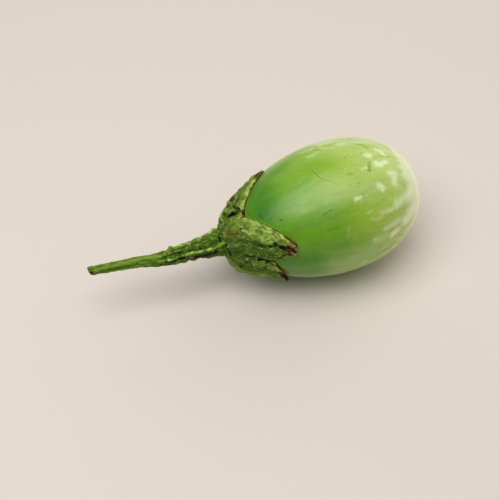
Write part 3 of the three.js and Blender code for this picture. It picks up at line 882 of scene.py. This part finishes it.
# height of the blade over the skin, and masks of painted highlight (keels, ribs) and painted shade
# (grooves, folds)
def calyxRelief(bare, distance, degrees):
    height, ridge, groove = (np.zeros(distance.shape) for _ in range(3))
    for sepal in sepals:
        point, keel, notch = sepal["point"], sepal["keel"], sepal["notch"]
        along = np.clip(distance / point["length"], 0, 1)
        _, across, off = besideLine(bare, skinLine(sepal["keelLine"]))
        width = np.where(across < 0, keel["before"], keel["after"])
        profile = 1 / (1 + (off / width) ** 2)
        faded = smooth(along, keel["fades"], calyx["keelEnd"])
        stands = smooth(distance, 0, calyx["keelStart"]) * (1 - faded)
        height += keel["height"] * stands * profile
        # a painted highlight along each keel
        highlighted = bell(off, calyx["keelHighlight"]) * smooth(distance, *calyx["keelHighlightStarts"])
        highlighted *= 1 - calyx["keelHighlightLoss"] * smooth(along, *calyx["keelHighlightFades"])
        ridge = np.maximum(ridge, highlighted)
        toNotch = np.clip(distance / notch["length"], 0, 1)
        grooveAngle = notch["root"] + turnTo(notch["angle"], notch["root"]) * toNotch**2
        aside = np.radians(turnTo(degrees, grooveAngle)) * distance
        pressed = smooth(toNotch, *calyx["grooveStarts"]) * bell(aside, calyx["grooveWidth"])
        height -= calyx["grooveDepth"] * pressed
        # painted shade in the groove
        groove = np.maximum(groove, calyx["grooveShade"] * pressed)
    for width, tall, places in calyxLines:
        profile = bell(besideLine(bare, skinLine(places))[2], width)
        height += tall * profile
        if tall > 0:
            ridge = np.maximum(ridge, calyx["ribLight"] * profile)
        else:
            shade = calyx["foldShade"] - calyx["foldShadePerMm"] * tall
            groove = np.maximum(groove, np.minimum(1, shade) * profile)
    return height, ridge, groove


def makeCalyx():
    outerRows, innerRows = calyx["outerRows"], calyx["innerRows"]
    row = np.arange(1, outerRows + innerRows + 1)[:, None]
    outer = row <= outerRows
    back = (outerRows + innerRows + 1 - row) / (innerRows + 1)
    share = np.where(outer, np.sin(row / outerRows * np.pi / 2), back)
    angles, reaches, owners = edgeAngles[::-1], edgeReaches[::-1], edgeOwners[::-1]
    reach = roughened(reaches, overSkin(reaches, angles), [calyx["edgeWaver"]])
    distance, degrees, reach, owners, outer = np.broadcast_arrays(
        reach * share, angles % 360, reach, owners, outer
    )
    bare = overSkin(distance, degrees)
    inward = reach - distance

    labels = ("length", "curled", "lift")
    tips = np.array([[sepal["point"][label] for label in labels] for sepal in sepals])
    length, curled, lift = np.moveaxis(tips[owners], -1, 0)
    curl = lift * smooth(distance, length - curled, length)

    height, ridge, groove = calyxRelief(bare, distance, degrees)
    crown = (calyx["crownThickness"] - calyx["bladeThickness"]) * bell(distance, calyx["crownSpread"])
    angle = np.radians(degrees)
    waves = sum(np.sin(a * distance + b * angle + start) for a, b, start in calyx["waves"])
    rough = roughened(0.5 * calyx["crinkle"] * waves, bare, calyx["lumps"])
    full = calyx["bladeThickness"] + crown + height + rough * smooth(distance, 0, calyx["keelStart"])
    margin = calyx["marginThickness"]
    thickness = margin + (np.maximum(full, margin) - margin) * smooth(inward, 0, calyx["marginWidth"])
    lip = calyx["lipHeight"] * bell(inward - calyx["lipAt"], calyx["lipWidth"])
    rounded = np.sqrt(1 - (1 - np.clip(inward / calyx["edgeRounding"], 0, 1)) ** 2)
    top = (calyx["gap"] + thickness + lip - calyx["skinGap"]) * rounded + calyx["skinGap"]
    rings = overSkin(distance, degrees, curl + np.where(outer, top, calyx["skinGap"]))
    seat = -fruit["length"] / 2 - calyx["seatHeight"]
    rings[..., 0] = np.maximum(rings[..., 0], seat)
    ends = np.array([[seat, 0, 0], [-fruit["length"] / 2 - calyx["skinGap"], 0, 0]])

    masks = {
        "fromEdge": inward,
        "ridge": ridge,
        "groove": groove,
        "pointward": smooth(distance, length - calyx["dryStart"], length + calyx["dryPast"]),
        "relief": rough / sum(height for height, *_ in calyx["lumps"]),
        "upperSide": outer.astype(float),
        "sepalPlace": roundLine(distance, degrees, calyx["napRadius"]),
    }
    scattered = scatteredSpots()
    uneven = astray(bare, *calyx["wander"])
    for label, marks in sepalMarks.items():
        drawnAt = uneven if label in calyx["wanderingMarks"] else bare
        masks[label] = marksAt(drawnAt, marks + scattered[label], skinLine)
    return closedMesh("feltedCalyx", laid(rings), laid(ends), masks)


felt = {
    "ground": "#6d8b2f",
    "shadow": "#34550e",
    "olive": "#5f6a12",
    "lit": "#98b04e",
    "brightAndPaintedHighlight": "#b1c262",
    "dim": "#2b4a0b",
    "pale": "#9ca871",
    "dryAndPaintedShade": "#644c16",
    "blackAndPaintedShade": "#0d1003",
    "maroon": "#260f0c",
    "rust": "#4a2c0b",
    "tan": "#9a8150",
    "hairline": "#3a210a",
    "underside": "#8f8450",
    "tints": [  # mask, pattern, ruffle, from, to, strength below and above, and the tint
        ("mound", "hair", 0.7, 0.25, 0.65, 0.6, 0, "shadow"),
        ("drift", "mound", 0.4, 0.5, 0.8, 0, 0.4, "olive"),
        # painted highlight on keels and ribs, then painted shade in grooves
        ("ridge", "mound", 0.6, 0.2, 0.9, 0, 0.5, "lit"),
        ("groove", "mound", 0.4, 0.1, 0.8, 0, 0.85, "dim"),
        ("lit", "mound", 0.8, 0.05, 0.95, 0, 0.75, "lit"),
        ("dim", "mound", 0.9, 0.05, 0.9, 0, 0.8, "dim"),
        ("dryAndPaintedShade", "mound", 1.8, 0.2, 0.9, 0, 0.85, "dryAndPaintedShade"),
        ("fromEdge", "mound", 1.6, 0.9, 2.2, 0.6, 0, "brightAndPaintedHighlight"),
        ("brightAndPaintedHighlight", "mound", 0.9, 0.2, 0.9, 0, 0.85, "brightAndPaintedHighlight"),
        # painted shade in the hollows between the lumps
        ("relief", "hair", 1.2, -1, 0.2, 0.6, 0, "shadow"),
        ("mound", "hair", 1, 0.25, 0.55, 0.3, 0, "shadow"),
        ("hair", "mound", 0.5, 0.25, 0.48, 0.4, 0, "shadow"),
        ("hair", "mound", 0.7, 0.54, 0.8, 0, 0.5, "brightAndPaintedHighlight"),
        ("pale", "hair", 0.9, 0.15, 0.7, 0, 0.75, "pale"),
        # painted shade: the deepest grooves and folds go near black
        ("groove", "mound", 0.5, 0.7, 1.1, 0, 0.75, "blackAndPaintedShade"),
        ("pointward", "mound", 1.6, 0.6, 1, 0, 0.8, "dryAndPaintedShade"),
        ("fromEdge", "mound", 0.7, 0, 0.4, 0.9, 0, "hairline"),
        ("rust", "mound", 0.9, 0.2, 0.75, 0, 0.95, "rust"),
        ("tan", "mound", 0.6, 0.15, 0.6, 0, 0.95, "tan"),
        ("maroon", "mound", 0.7, 0.15, 0.65, 0, 0.95, "maroon"),
        ("blackAndPaintedShade", "hair", 0.6, 0.15, 0.6, 0, 1, "blackAndPaintedShade"),
        ("upperSide", "hair", 0, 0.4, 0.6, 1, 0, "underside"),
    ],
    "patterns": [  # name, length along the sepal, width and detail
        ("mound", 1.8, 0.9, 4),
        ("hair", 1.2, 0.5, 2),  # coarser than real hairs, so that they show
        ("drift", 6, 6, 2),
    ],
    "hairRelief": 0.45,  # beside the mounds
    "bump": 0.9,
    "relief": 0.0007,  # metres
    "finish": {"Roughness": 0.85, "IOR": 1.35, "Specular IOR Level": 0.25},
}


# Felted sepal: a matt leaf with a nap of short hairs, mottled light and dark, and dry brown along its edge.
# Its colour holds painted highlight on keels, ribs and margins, and painted shade in grooves, folds and
# creases.
def feltedSepal():
    material, tree = newMaterial("feltedSepal")
    masks = ["fromEdge", "ridge", "groove", "relief", "pointward", "upperSide", *sepalMarks]
    _, sources = gatherSources(tree, "sepalPlace", masks, felt["patterns"])
    colour = layTints(tree, linear(felt["ground"]), sources, felt, felt["tints"])

    raised = {0: sources["hair"], 1: felt["hairRelief"], 2: sources["mound"]}
    addSurface(tree, colour, addNode(tree, "Math", raised, operation="MULTIPLY_ADD"), felt, {})
    return material


stalk = {
    "footGap": 0.3,
    "footDepth": 1.2,  # how far the stalk runs on into the calyx
    "radii": [6, 5.1, 4.1, 3.8, 3.25, 2.6, 2.4, 2.2, 2, 1.9],
    "route": [(0, 0.8, 0), (14, 1.2, 0.3), (27, 1.3, 0.9), (36, 3, 1.4), (45, 4.1, 1.9), (57, 5.5, 2.8)],
    "slimmer": 0.94,  # of the radius, between the ribs
    "stoutEnds": (20, 36),  # mm from the foot, where the rough stout half turns to the smooth slim one
    "slimRelief": 0.3,  # of the stout half's
    "cutSlant": 0.9,
    "cutSlantFrom": 0.93,
    "cutDish": 0.5,
    "columns": 120,
    "rings": 420,
    "capRings": 14,
    "warts": 110,
    "wartHeight": 0.26,  # of the highest
    "wartShares": (0.4, 1),  # of that height
    "wartWidths": (0.3, 0.6),
    "wartReach": 55,
    "wartCrowding": 1.6,  # towards the foot
    "wartSeed": 4,
    "lumps": [(0.13, 2.8, 32), (0.08, 1.2, 33)],  # height, spacing and seed
    "ribRadius": 4.2,  # of the stalk, where its ribs have their full height
    "ribNarrowing": 0.55,  # how much of a rib's width goes with the radius
    "ribBreaks": (0.35, 5, 31),  # how the ribs come and go: share of their height, spacing and seed
    "ribBreakLimits": (0.3, 1.6),
}

# ribs as (half width, height, places). A place on the stalk is how far it lies from the foot, and its turn
# in degrees from the far side over the top.
ribs = [
    (1, 0.42, [(0, 52), (4, 60), (9, 71), (14, 75), (22, 76), (27, 84)]
        + [(32, 84), (38, 94), (45, 87), (52, 80), (58, 90)]),
    (0.9, 0.5, [(0, 138), (4, 149), (7, 150), (11, 150), (18, 147), (22, 152)]
        + [(27, 150), (31, 144), (36, 138)]),
    (0.8, 0.22, [(2, 114), (8, 111), (16, 111), (24, 104), (34, 99), (44, 110), (55, 128)]),
    (0.8, 0.3, [(24, 168), (32, 172), (39, 180), (45, 188), (52, 208), (57, 218)]),
    (1.1, 0.45, [(0, 212), (12, 220), (26, 228), (40, 250), (58, 280)]),
    (1.1, 0.45, [(0, 282), (14, 286), (30, 300), (44, 322), (58, 340)]),
    (1.1, 0.4, [(0, 348), (15, 352), (30, 365), (45, 380), (58, 395)]),
]

# marks on the stalk by colour, as (half width, strength, places)
stalkMarks = {
    # painted highlight along the ribs that meet the lamps
    "lit": [
        (0.9, 0.8, [(27.4, 105), (33.7, 98), (40.1, 111), (45.3, 108), (51, 126), (54.9, 129)]),
        (0.5, 0.8, [(1.4, 141), (4.1, 150), (6.7, 150)]),
        (0.5, 0.9, [(10.7, 150), (14.1, 144), (18.2, 147)]),
        (0.5, 0.8, [(20.6, 147), (22.2, 153), (24.7, 150)]),
        (0.5, 0.9, [(0.7, 54), (3.8, 60), (8.8, 72)]), (0.4, 0.8, [(8.8, 72), (13.4, 75), (17.9, 75)]),
        (0.4, 0.8, [(31.9, 168), (38.5, 177), (44.9, 183), (51.2, 207), (54.8, 219)]),
        (0.4, 0.9, [(51.5, 66), (54.8, 80), (57, 88)]), (0.6, 0.6, [(3.7, 99), (4.1, 99)]),
        (0.6, 0.7, [(2.2, 81), (2.6, 81)]), (0.7, 0.5, [(6.4, 102), (8.2, 102)]),
        (0.5, 0.6, [(27.3, 93), (28.4, 117)]), (0.5, 0.5, [(29.9, 93), (31, 144)]),
        (0.6, 0.6, [(41.8, 105), (43.7, 117)]),
    ],
    # painted highlight: glints on the warts and ribs near the foot
    "brightAndPaintedHighlight": [
        (0.6, 1, [(1.7, 40), (2.1, 44)]), (0.45, 1, [(3.6, 63), (4.5, 66)]),
        (0.5, 1, [(8.5, 72), (9.5, 72)]), (0.5, 1, [(14, 81), (14.4, 81)]),
        (0.45, 1, [(17.5, 78), (17.9, 78)]), (0.55, 1, [(5.9, 147), (7.4, 150)]),
        (0.5, 0.9, [(13.7, 144), (15.1, 144)]), (0.45, 0.8, [(24, 150), (24.5, 150)]),
        (0.4, 0.8, [(9.7, 147), (10.7, 147)]),
    ],
    # painted shade on the faces below the ribs
    "dim": [
        (0.9, 0.9, [(7.8, 136), (10.4, 134), (14.7, 128), (19, 122), (22.5, 114)]),
        (0.8, 0.6, [(11.1, 90), (13.8, 93), (16.6, 93)]),
        (0.8, 0.5, [(40.6, 153), (46.9, 153), (53.2, 150)]),
        (0.6, 0.6, [(31.6, 123), (35.1, 123), (37.8, 138)]), (0.7, 0.7, [(30.4, 117), (31, 140)]),
        (0.6, 0.6, [(26.2, 108), (25.2, 126)]), (0.8, 0.8, [(2.2, 108), (0.8, 93)]),
        (1.3, 0.75, [(2, 122), (6, 112), (9.5, 104)]), (1, 0.6, [(12, 118), (17, 104), (20, 98)]),
        (0.6, 0.8, [(5.2, 132), (4.5, 126)]), (0.35, 1, [(51.9, 84), (54.8, 100), (57.1, 108)]),
    ],
    # dry corky patches; the broad one low on the near side by the foot is painted shade
    "dryAndPaintedShade": [
        (0.7, 0.9, [(7, 74), (5.6, 88)]), (0.5, 0.8, [(15.9, 102), (14.5, 102)]),
        (0.5, 0.8, [(25.5, 90), (24.2, 99)]), (0.5, 0.8, [(20.3, 96), (19.5, 99)]),
        (0.45, 0.8, [(9.7, 120), (9.3, 126)]), (0.5, 0.7, [(22.9, 93), (21.6, 96)]),
        (0.5, 0.6, [(12.6, 78), (10.8, 84)]), (0.4, 0.8, [(30.6, 45), (31.8, 39)]),
        (0.35, 1, [(40.7, 45), (37.7, 56), (33.6, 42)]), (1.8, 0.8, [(6, 196), (16, 200)]),
    ],
    # dark spots; those at the foot's crease and on the near side, 160 to 192 degrees round, are painted
    # shade
    "blackAndPaintedShade": [
        (0.5, 0.9, [(9.8, 135), (10.2, 135)]), (0.4, 0.9, [(19, 123), (19.9, 120)]),
        (0.4, 0.8, [(14.5, 132), (14.9, 132)]), (0.4, 0.8, [(21.2, 117), (21.6, 117)]),
        (0.4, 0.7, [(25.1, 126), (25.5, 126)]), (1.1, 0.9, [(4.2, 176), (8.9, 184), (12.7, 192)]),
        (0.8, 0.9, [(17.9, 165), (19.9, 163)]), (0.5, 1, [(21.6, 174), (24, 171), (25.6, 161)]),
        (0.5, 0.9, [(27.3, 177), (27.7, 177)]), (0.5, 1, [(56.3, 159), (56.8, 159)]),
        (0.5, 1, [(1.2, 108), (1.2, 124)]),
    ],
    "tan": [
        (0.4, 0.9, [(15.3, 105), (15.7, 105)]), (0.4, 0.8, [(13.8, 96), (14.2, 96)]),
        (0.4, 0.9, [(9.7, 150), (10.1, 150)]), (0.4, 0.8, [(12, 150), (12.4, 150)]),
        (0.4, 0.8, [(19.9, 99), (20.3, 99)]), (0.35, 0.7, [(24.9, 96), (25.3, 96)]),
    ],
}

# larger warts as (half width, height, place)
namedWarts = [
    (1.1, 0.6, (2.1, 51)),
    (0.7, 0.45, (8.8, 75)),
    (0.6, 0.5, (14.2, 81)),
    (0.6, 0.4, (17.8, 81)),
    (1.3, 1.3, (22.4, 64)),
    (0.8, 0.35, (6.7, 147)),
    (0.9, 0.3, (24.4, 150)),
]


def radiusAt(share):
    return np.interp(share, np.linspace(0, 1, len(stalk["radii"])), stalk["radii"])


# places on the stalk as if it were straight
def rindPlace(along, turn):
    return roundLine(along, turn, radiusAt(along / stalkLength))


def rindLine(places):
    return lineThrough(places, rindPlace, 6)


# a smooth line through points, as THREE's centripetal Catmull-Rom curve draws it, with even steps
def smoothLine(points, count, samples=201):
    points = np.array(points, float)
    padded = np.concatenate([[2 * points[0] - points[1]], points, [2 * points[-1] - points[-2]]])
    pieces = []
    for p0, p1, p2, p3 in zip(padded, padded[1:], padded[2:], padded[3:]):
        d0, d1, d2 = (np.linalg.norm(b - a) ** 0.5 for a, b in ((p0, p1), (p1, p2), (p2, p3)))
        t1 = ((p1 - p0) / d0 - (p2 - p0) / (d0 + d1) + (p2 - p1) / d1) * d1
        t2 = ((p2 - p1) / d1 - (p3 - p1) / (d1 + d2) + (p3 - p2) / d2) * d1
        w = np.linspace(0, 1, samples)[:, None]
        pieces.append(p1 + t1 * w + (3 * (p2 - p1) - 2 * t1 - t2) * w**2 + (2 * (p1 - p2) + t1 + t2) * w**3)
    line = np.concatenate(pieces)
    gone = np.concatenate([[0], np.cumsum(np.linalg.norm(np.diff(line, axis=0), axis=1))])
    at = np.linspace(0, gone[-1], count)
    return np.stack([np.interp(at, gone, line[:, i]) for i in range(3)], axis=-1), gone[-1]


stalkFoot = -fruit["length"] / 2 - calyx["seatHeight"] - stalk["footGap"]
stalkRoute = [(stalkFoot - along, aside, up) for along, aside, up in stalk["route"]]
stalkCentres, stalkLength = smoothLine(stalkRoute, stalk["rings"])


# warts, most of them on the stout half
def scatteredWarts():
    chance = np.random.default_rng(stalk["wartSeed"])
    warts = []
    for _ in range(stalk["warts"]):
        place = (chance.random() ** stalk["wartCrowding"] * stalk["wartReach"], chance.uniform(0, 360))
        width = chance.uniform(*stalk["wartWidths"])
        warts.append((width, stalk["wartHeight"] * chance.uniform(*stalk["wartShares"]), place))
    return warts


# how far the rind stands from the middle line, and the masks that its colour is painted by
# ribs, lumps and warts take painted highlight; between the ribs and in hollows, painted shade
def stalkRelief(along, spot, radius):
    out = radius * stalk["slimmer"] * np.ones_like(along)
    ridge, wart = np.zeros_like(along), np.zeros_like(along)
    broken = np.clip(roughened(1, spot, [stalk["ribBreaks"]]), *stalk["ribBreakLimits"])
    narrowing = stalk["ribNarrowing"]
    for width, tall, places in ribs:
        narrowed = width * (1 - narrowing + narrowing * radius / stalk["radii"][0])
        profile = broken * bell(besideLine(spot, rindLine(places))[2], narrowed)
        out += tall * (radius / stalk["ribRadius"]) * profile
        ridge = np.maximum(ridge, profile)
    stout = 1 - smooth(along, *stalk["stoutEnds"])
    relief = roughened(0, spot, stalk["lumps"])
    relief *= stalk["slimRelief"] + (1 - stalk["slimRelief"]) * stout
    out += relief
    for width, tall, place in namedWarts + scatteredWarts():
        bump = bell(np.linalg.norm(spot - rindPlace(*place), axis=-1), width)
        out += tall * bump
        wart = np.maximum(wart, bump)
    relief = relief / sum(height for height, *_ in stalk["lumps"])
    masks = {"ridge": ridge, "relief": relief, "wart": wart, "stout": stout, "toCut": stalkLength - along}
    return out, masks


def makeStalk():
    centres, share = stalkCentres, np.linspace(0, 1, stalk["rings"])[:, None]
    forward = np.gradient(centres, axis=0)
    forward /= np.linalg.norm(forward, axis=1)[:, None]
    side = np.cross(forward, [0, 0, 1])
    side /= np.linalg.norm(side, axis=1)[:, None]
    above = np.cross(side, forward)

    turn = np.arange(stalk["columns"])[None, :] * 360 / stalk["columns"]
    along = np.broadcast_to(share * stalkLength, (stalk["rings"], stalk["columns"]))
    radius, spot = radiusAt(share), rindPlace(along, turn)
    out, masks = stalkRelief(along, spot, radius)
    sine, cosine = np.sin(np.radians(turn))[..., None], np.cos(np.radians(turn))[..., None]
    outward = (out / out.max(axis=1, keepdims=True))[..., None]
    slant = stalk["cutSlant"] * smooth(share, stalk["cutSlantFrom"], 1)[..., None] * sine * outward
    across = side[:, None] * cosine + above[:, None] * sine
    rings = centres[:, None] + across * out[..., None] + forward[:, None] * slant

    # run the foot on into the calyx, and close the cut end with a dished face
    deeper = forward[0] * stalk["footDepth"]
    inward = np.linspace(1, 0, stalk["capRings"] + 2)[1:-1, None, None]
    dish = stalk["cutDish"] * (1 - inward**2) ** 0.5
    cap = centres[-1] + (rings[-1] - centres[-1])[None] * inward - forward[-1] * dish
    rings = np.concatenate([rings[:1] - deeper, rings, cap])
    ends = np.stack([centres[0] - deeper, centres[-1] - forward[-1] * stalk["cutDish"]])

    for label, marks in stalkMarks.items():
        masks[label] = marksAt(spot, marks, rindLine)
    # over the cut, only the distance from its rim counts
    capped = {"toCut": -radius[-1] * (1 - inward[..., 0]) * np.ones(stalk["columns"])}
    none = np.zeros((stalk["capRings"], stalk["columns"]))
    for label, values in masks.items():
        masks[label] = np.concatenate([values[:1], values, capped.get(label, none)])
    capPlace = spot[-1] * [1, 0, 0] + spot[-1] * [0, 1, 1] * inward
    masks["stalkPlace"] = np.concatenate([spot[:1], spot, capPlace])
    return closedMesh("ribbedStalk", laid(rings), laid(ends), masks)


rind = {
    "ground": "#547a10",
    "shadow": "#224503",
    "fibre": "#6f9023",
    "lit": "#86a535",
    "brightAndPaintedHighlight": "#b9cf78",
    "dim": "#213f03",
    "dryAndPaintedShade": "#5a4410",
    "blackAndPaintedShade": "#0d1002",
    "tan": "#9a8a54",
    "pith": "#8c9a62",
    "tints": [  # mask, pattern, ruffle, from, to, strength below and above, and the tint
        # painted shade between the ribs and in the hollows between the lumps
        ("ridge", "mound", 1.2, -0.2, 0.6, 0.62, 0, "shadow"),
        ("relief", "mound", 1.8, -0.9, 0.8, 0.68, 0, "shadow"),
        ("stout", "fibre", 0.6, 0.1, 0.7, 0.4, 0, "fibre"),
        ("fibre", "mound", 0.3, 0.5, 0.7, 0, 0.45, "fibre"),
        # painted highlight on the ribs and the tops of the lumps
        ("ridge", "mound", 1.6, 0.6, 1.2, 0, 0.6, "lit"),
        ("relief", "grain", 1.2, 0.6, 1.5, 0, 0.6, "lit"),
        ("dim", "mound", 0.8, 0.1, 0.8, 0, 0.9, "dim"),
        ("lit", "mound", 1.2, 0.1, 0.9, 0, 0.8, "lit"),
        ("stout", "mound", 3.4, 1.3, 1.6, 0, 0.7, "dim"),
        ("stout", "grain", 3.6, 0.5, 0.9, 0.25, 0, "shadow"),
        ("stout", "grain", 3.6, 1.15, 1.6, 0, 0.5, "lit"),
        ("dryAndPaintedShade", "mound", 0.9, 0.15, 0.7, 0, 0.85, "dryAndPaintedShade"),
        # painted highlight on the warts
        ("wart", "grain", 0.6, 0.4, 1, 0, 0.5, "lit"),
        ("brightAndPaintedHighlight", "grain", 0.9, 0.15, 0.8, 0, 0.75, "brightAndPaintedHighlight"),
        ("tan", "grain", 0.8, 0.15, 0.7, 0, 0.6, "tan"),
        ("blackAndPaintedShade", "grain", 0.6, 0.15, 0.6, 0, 0.95, "blackAndPaintedShade"),
        ("toCut", "grain", 0.8, -0.1, 0.6, 0.8, 0, "dryAndPaintedShade"),
        ("toCut", "grain", 0.5, -0.6, -0.2, 0.85, 0, "pith"),
        ("toCut", "grain", 0.8, -1.6, -1.2, 0.7, 0, "dryAndPaintedShade"),
    ],
    "patterns": [  # name, length along the stalk, width and detail
        ("fibre", 5, 0.6, 3),
        ("mound", 2.24, 1.4, 4),
        ("grain", 0.7, 0.5, 2),
    ],
    "grainRelief": 0.5,  # beside the mounds
    "bump": 0.8,
    "relief": 0.0007,  # metres
    "finish": {"Roughness": 0.62, "IOR": 1.4, "Specular IOR Level": 0.2},
}


# Green stalk rind: fibrous along its length, painted highlight on its ribs, dry corky flecks, a dried cut.
# Its colour also holds painted shade between its ribs and in its hollows and crease.
def fibrousRind():
    material, tree = newMaterial("fibrousRind")
    masks = ["ridge", "relief", "wart", "stout", "toCut", *stalkMarks]
    _, sources = gatherSources(tree, "stalkPlace", masks, rind["patterns"])
    colour = layTints(tree, linear(rind["ground"]), sources, rind, rind["tints"])

    raised = {0: sources["grain"], 1: rind["grainRelief"], 2: sources["mound"]}
    addSurface(tree, colour, addNode(tree, "Math", raised, operation="MULTIPLY_ADD"), rind, {})
    return material


studio = {
    "floor": "#d5cbc1",
    "floorRoughness": 0.9,
    "floorSize": 6.0,  # metres
    "sky": "#f4f1ee",
    "skyStrength": 0.3,
    "aim": (0, 0, 0.03),  # metres, where the lamps point
    "key": {"power": 7.2, "size": (0.65, 0.92), "toward": (-0.3, -0.1, 0.95), "distance": 0.85},
    "fill": {"power": 4.6, "size": (1.2, 1.6), "toward": (0.85, 0.25, 0.42), "distance": 1.1},
    "rim": {"power": 1.6, "size": (1.4, 0.4), "toward": (0.4, 0.85, 0.45), "distance": 1.0},
}

view = {
    "elevation": 50,
    "azimuth": -20.15,
    "lens": 85,
    "sensor": 36,
    "frame": 500,  # pixels, both ways
    "pixel": 0.434,  # mm that one covers at the fruit
    "fruitAt": (324.51, 209.51),  # the pixel that the fruit's middle falls on
}


def makeStage():
    half = studio["floorSize"] / 2
    corners = [(-half, -half, 0), (half, -half, 0), (half, half, 0), (-half, half, 0)]
    mesh = bpy.data.meshes.new("paleFloor")
    mesh.from_pydata(corners, [], [(0, 1, 2, 3)])
    material, tree = newMaterial("mattPaper")
    surface = {"Base Color": linear(studio["floor"]), "Roughness": studio["floorRoughness"]}
    addNode(tree, "OutputMaterial", {"Surface": addNode(tree, "BsdfPrincipled", surface)})
    mesh.materials.append(material)
    floor = addObject("paleFloor", mesh)

    world = bpy.data.worlds.new("paleRoom")
    bpy.context.scene.world = world
    world.use_nodes = True
    sky = world.node_tree.nodes["Background"]
    sky.inputs["Color"].default_value = linear(studio["sky"])
    sky.inputs["Strength"].default_value = studio["skyStrength"]

    for label in ("key", "fill", "rim"):
        setting = studio[label]
        lamp = bpy.data.lights.new(label, "AREA")
        lamp.shape = "RECTANGLE"
        lamp.size, lamp.size_y = setting["size"]
        lamp.energy = setting["power"]
        toward = Vector(setting["toward"]).normalized()
        light = addObject(label, lamp)
        light.location = Vector(studio["aim"]) + toward * setting["distance"]
        light.rotation_euler = toward.to_track_quat("Z", "Y").to_euler()


def makeCamera():
    azimuth, rise = math.radians(view["azimuth"]), math.radians(view["elevation"])
    level = Vector((math.sin(azimuth), -math.cos(azimuth), 0))
    back = level * math.cos(rise) + Vector((0, 0, math.sin(rise)))
    right = Vector((math.cos(azimuth), math.sin(azimuth), 0))
    up = back.cross(right)
    pixel = view["pixel"] / 1000
    away = view["lens"] / view["sensor"] * view["frame"] * pixel
    centre = Vector((lie["ahead"], lie["beside"], lie["height"])) / 1000
    x, y = view["fruitAt"]
    middle = view["frame"] / 2
    spot = centre + back * away + right * (middle - x) * pixel - up * (middle - y) * pixel
    lens = bpy.data.cameras.new("camera")
    lens.lens, lens.sensor_width = view["lens"], view["sensor"]
    camera = addObject("camera", lens)
    camera.matrix_world = Matrix.Translation(spot) @ Matrix((right, up, back)).transposed().to_4x4()
    bpy.context.scene.camera = camera


makeStage()
makeCamera()
bpy.context.scene.view_settings.view_transform = "Standard"
print("floor, lights and camera are in place")

settle(makeFruit(), waxySkin(), "fruit")
settle(makeCalyx(), feltedSepal(), "calyx")
settle(makeStalk(), fibrousRind(), "stalk")
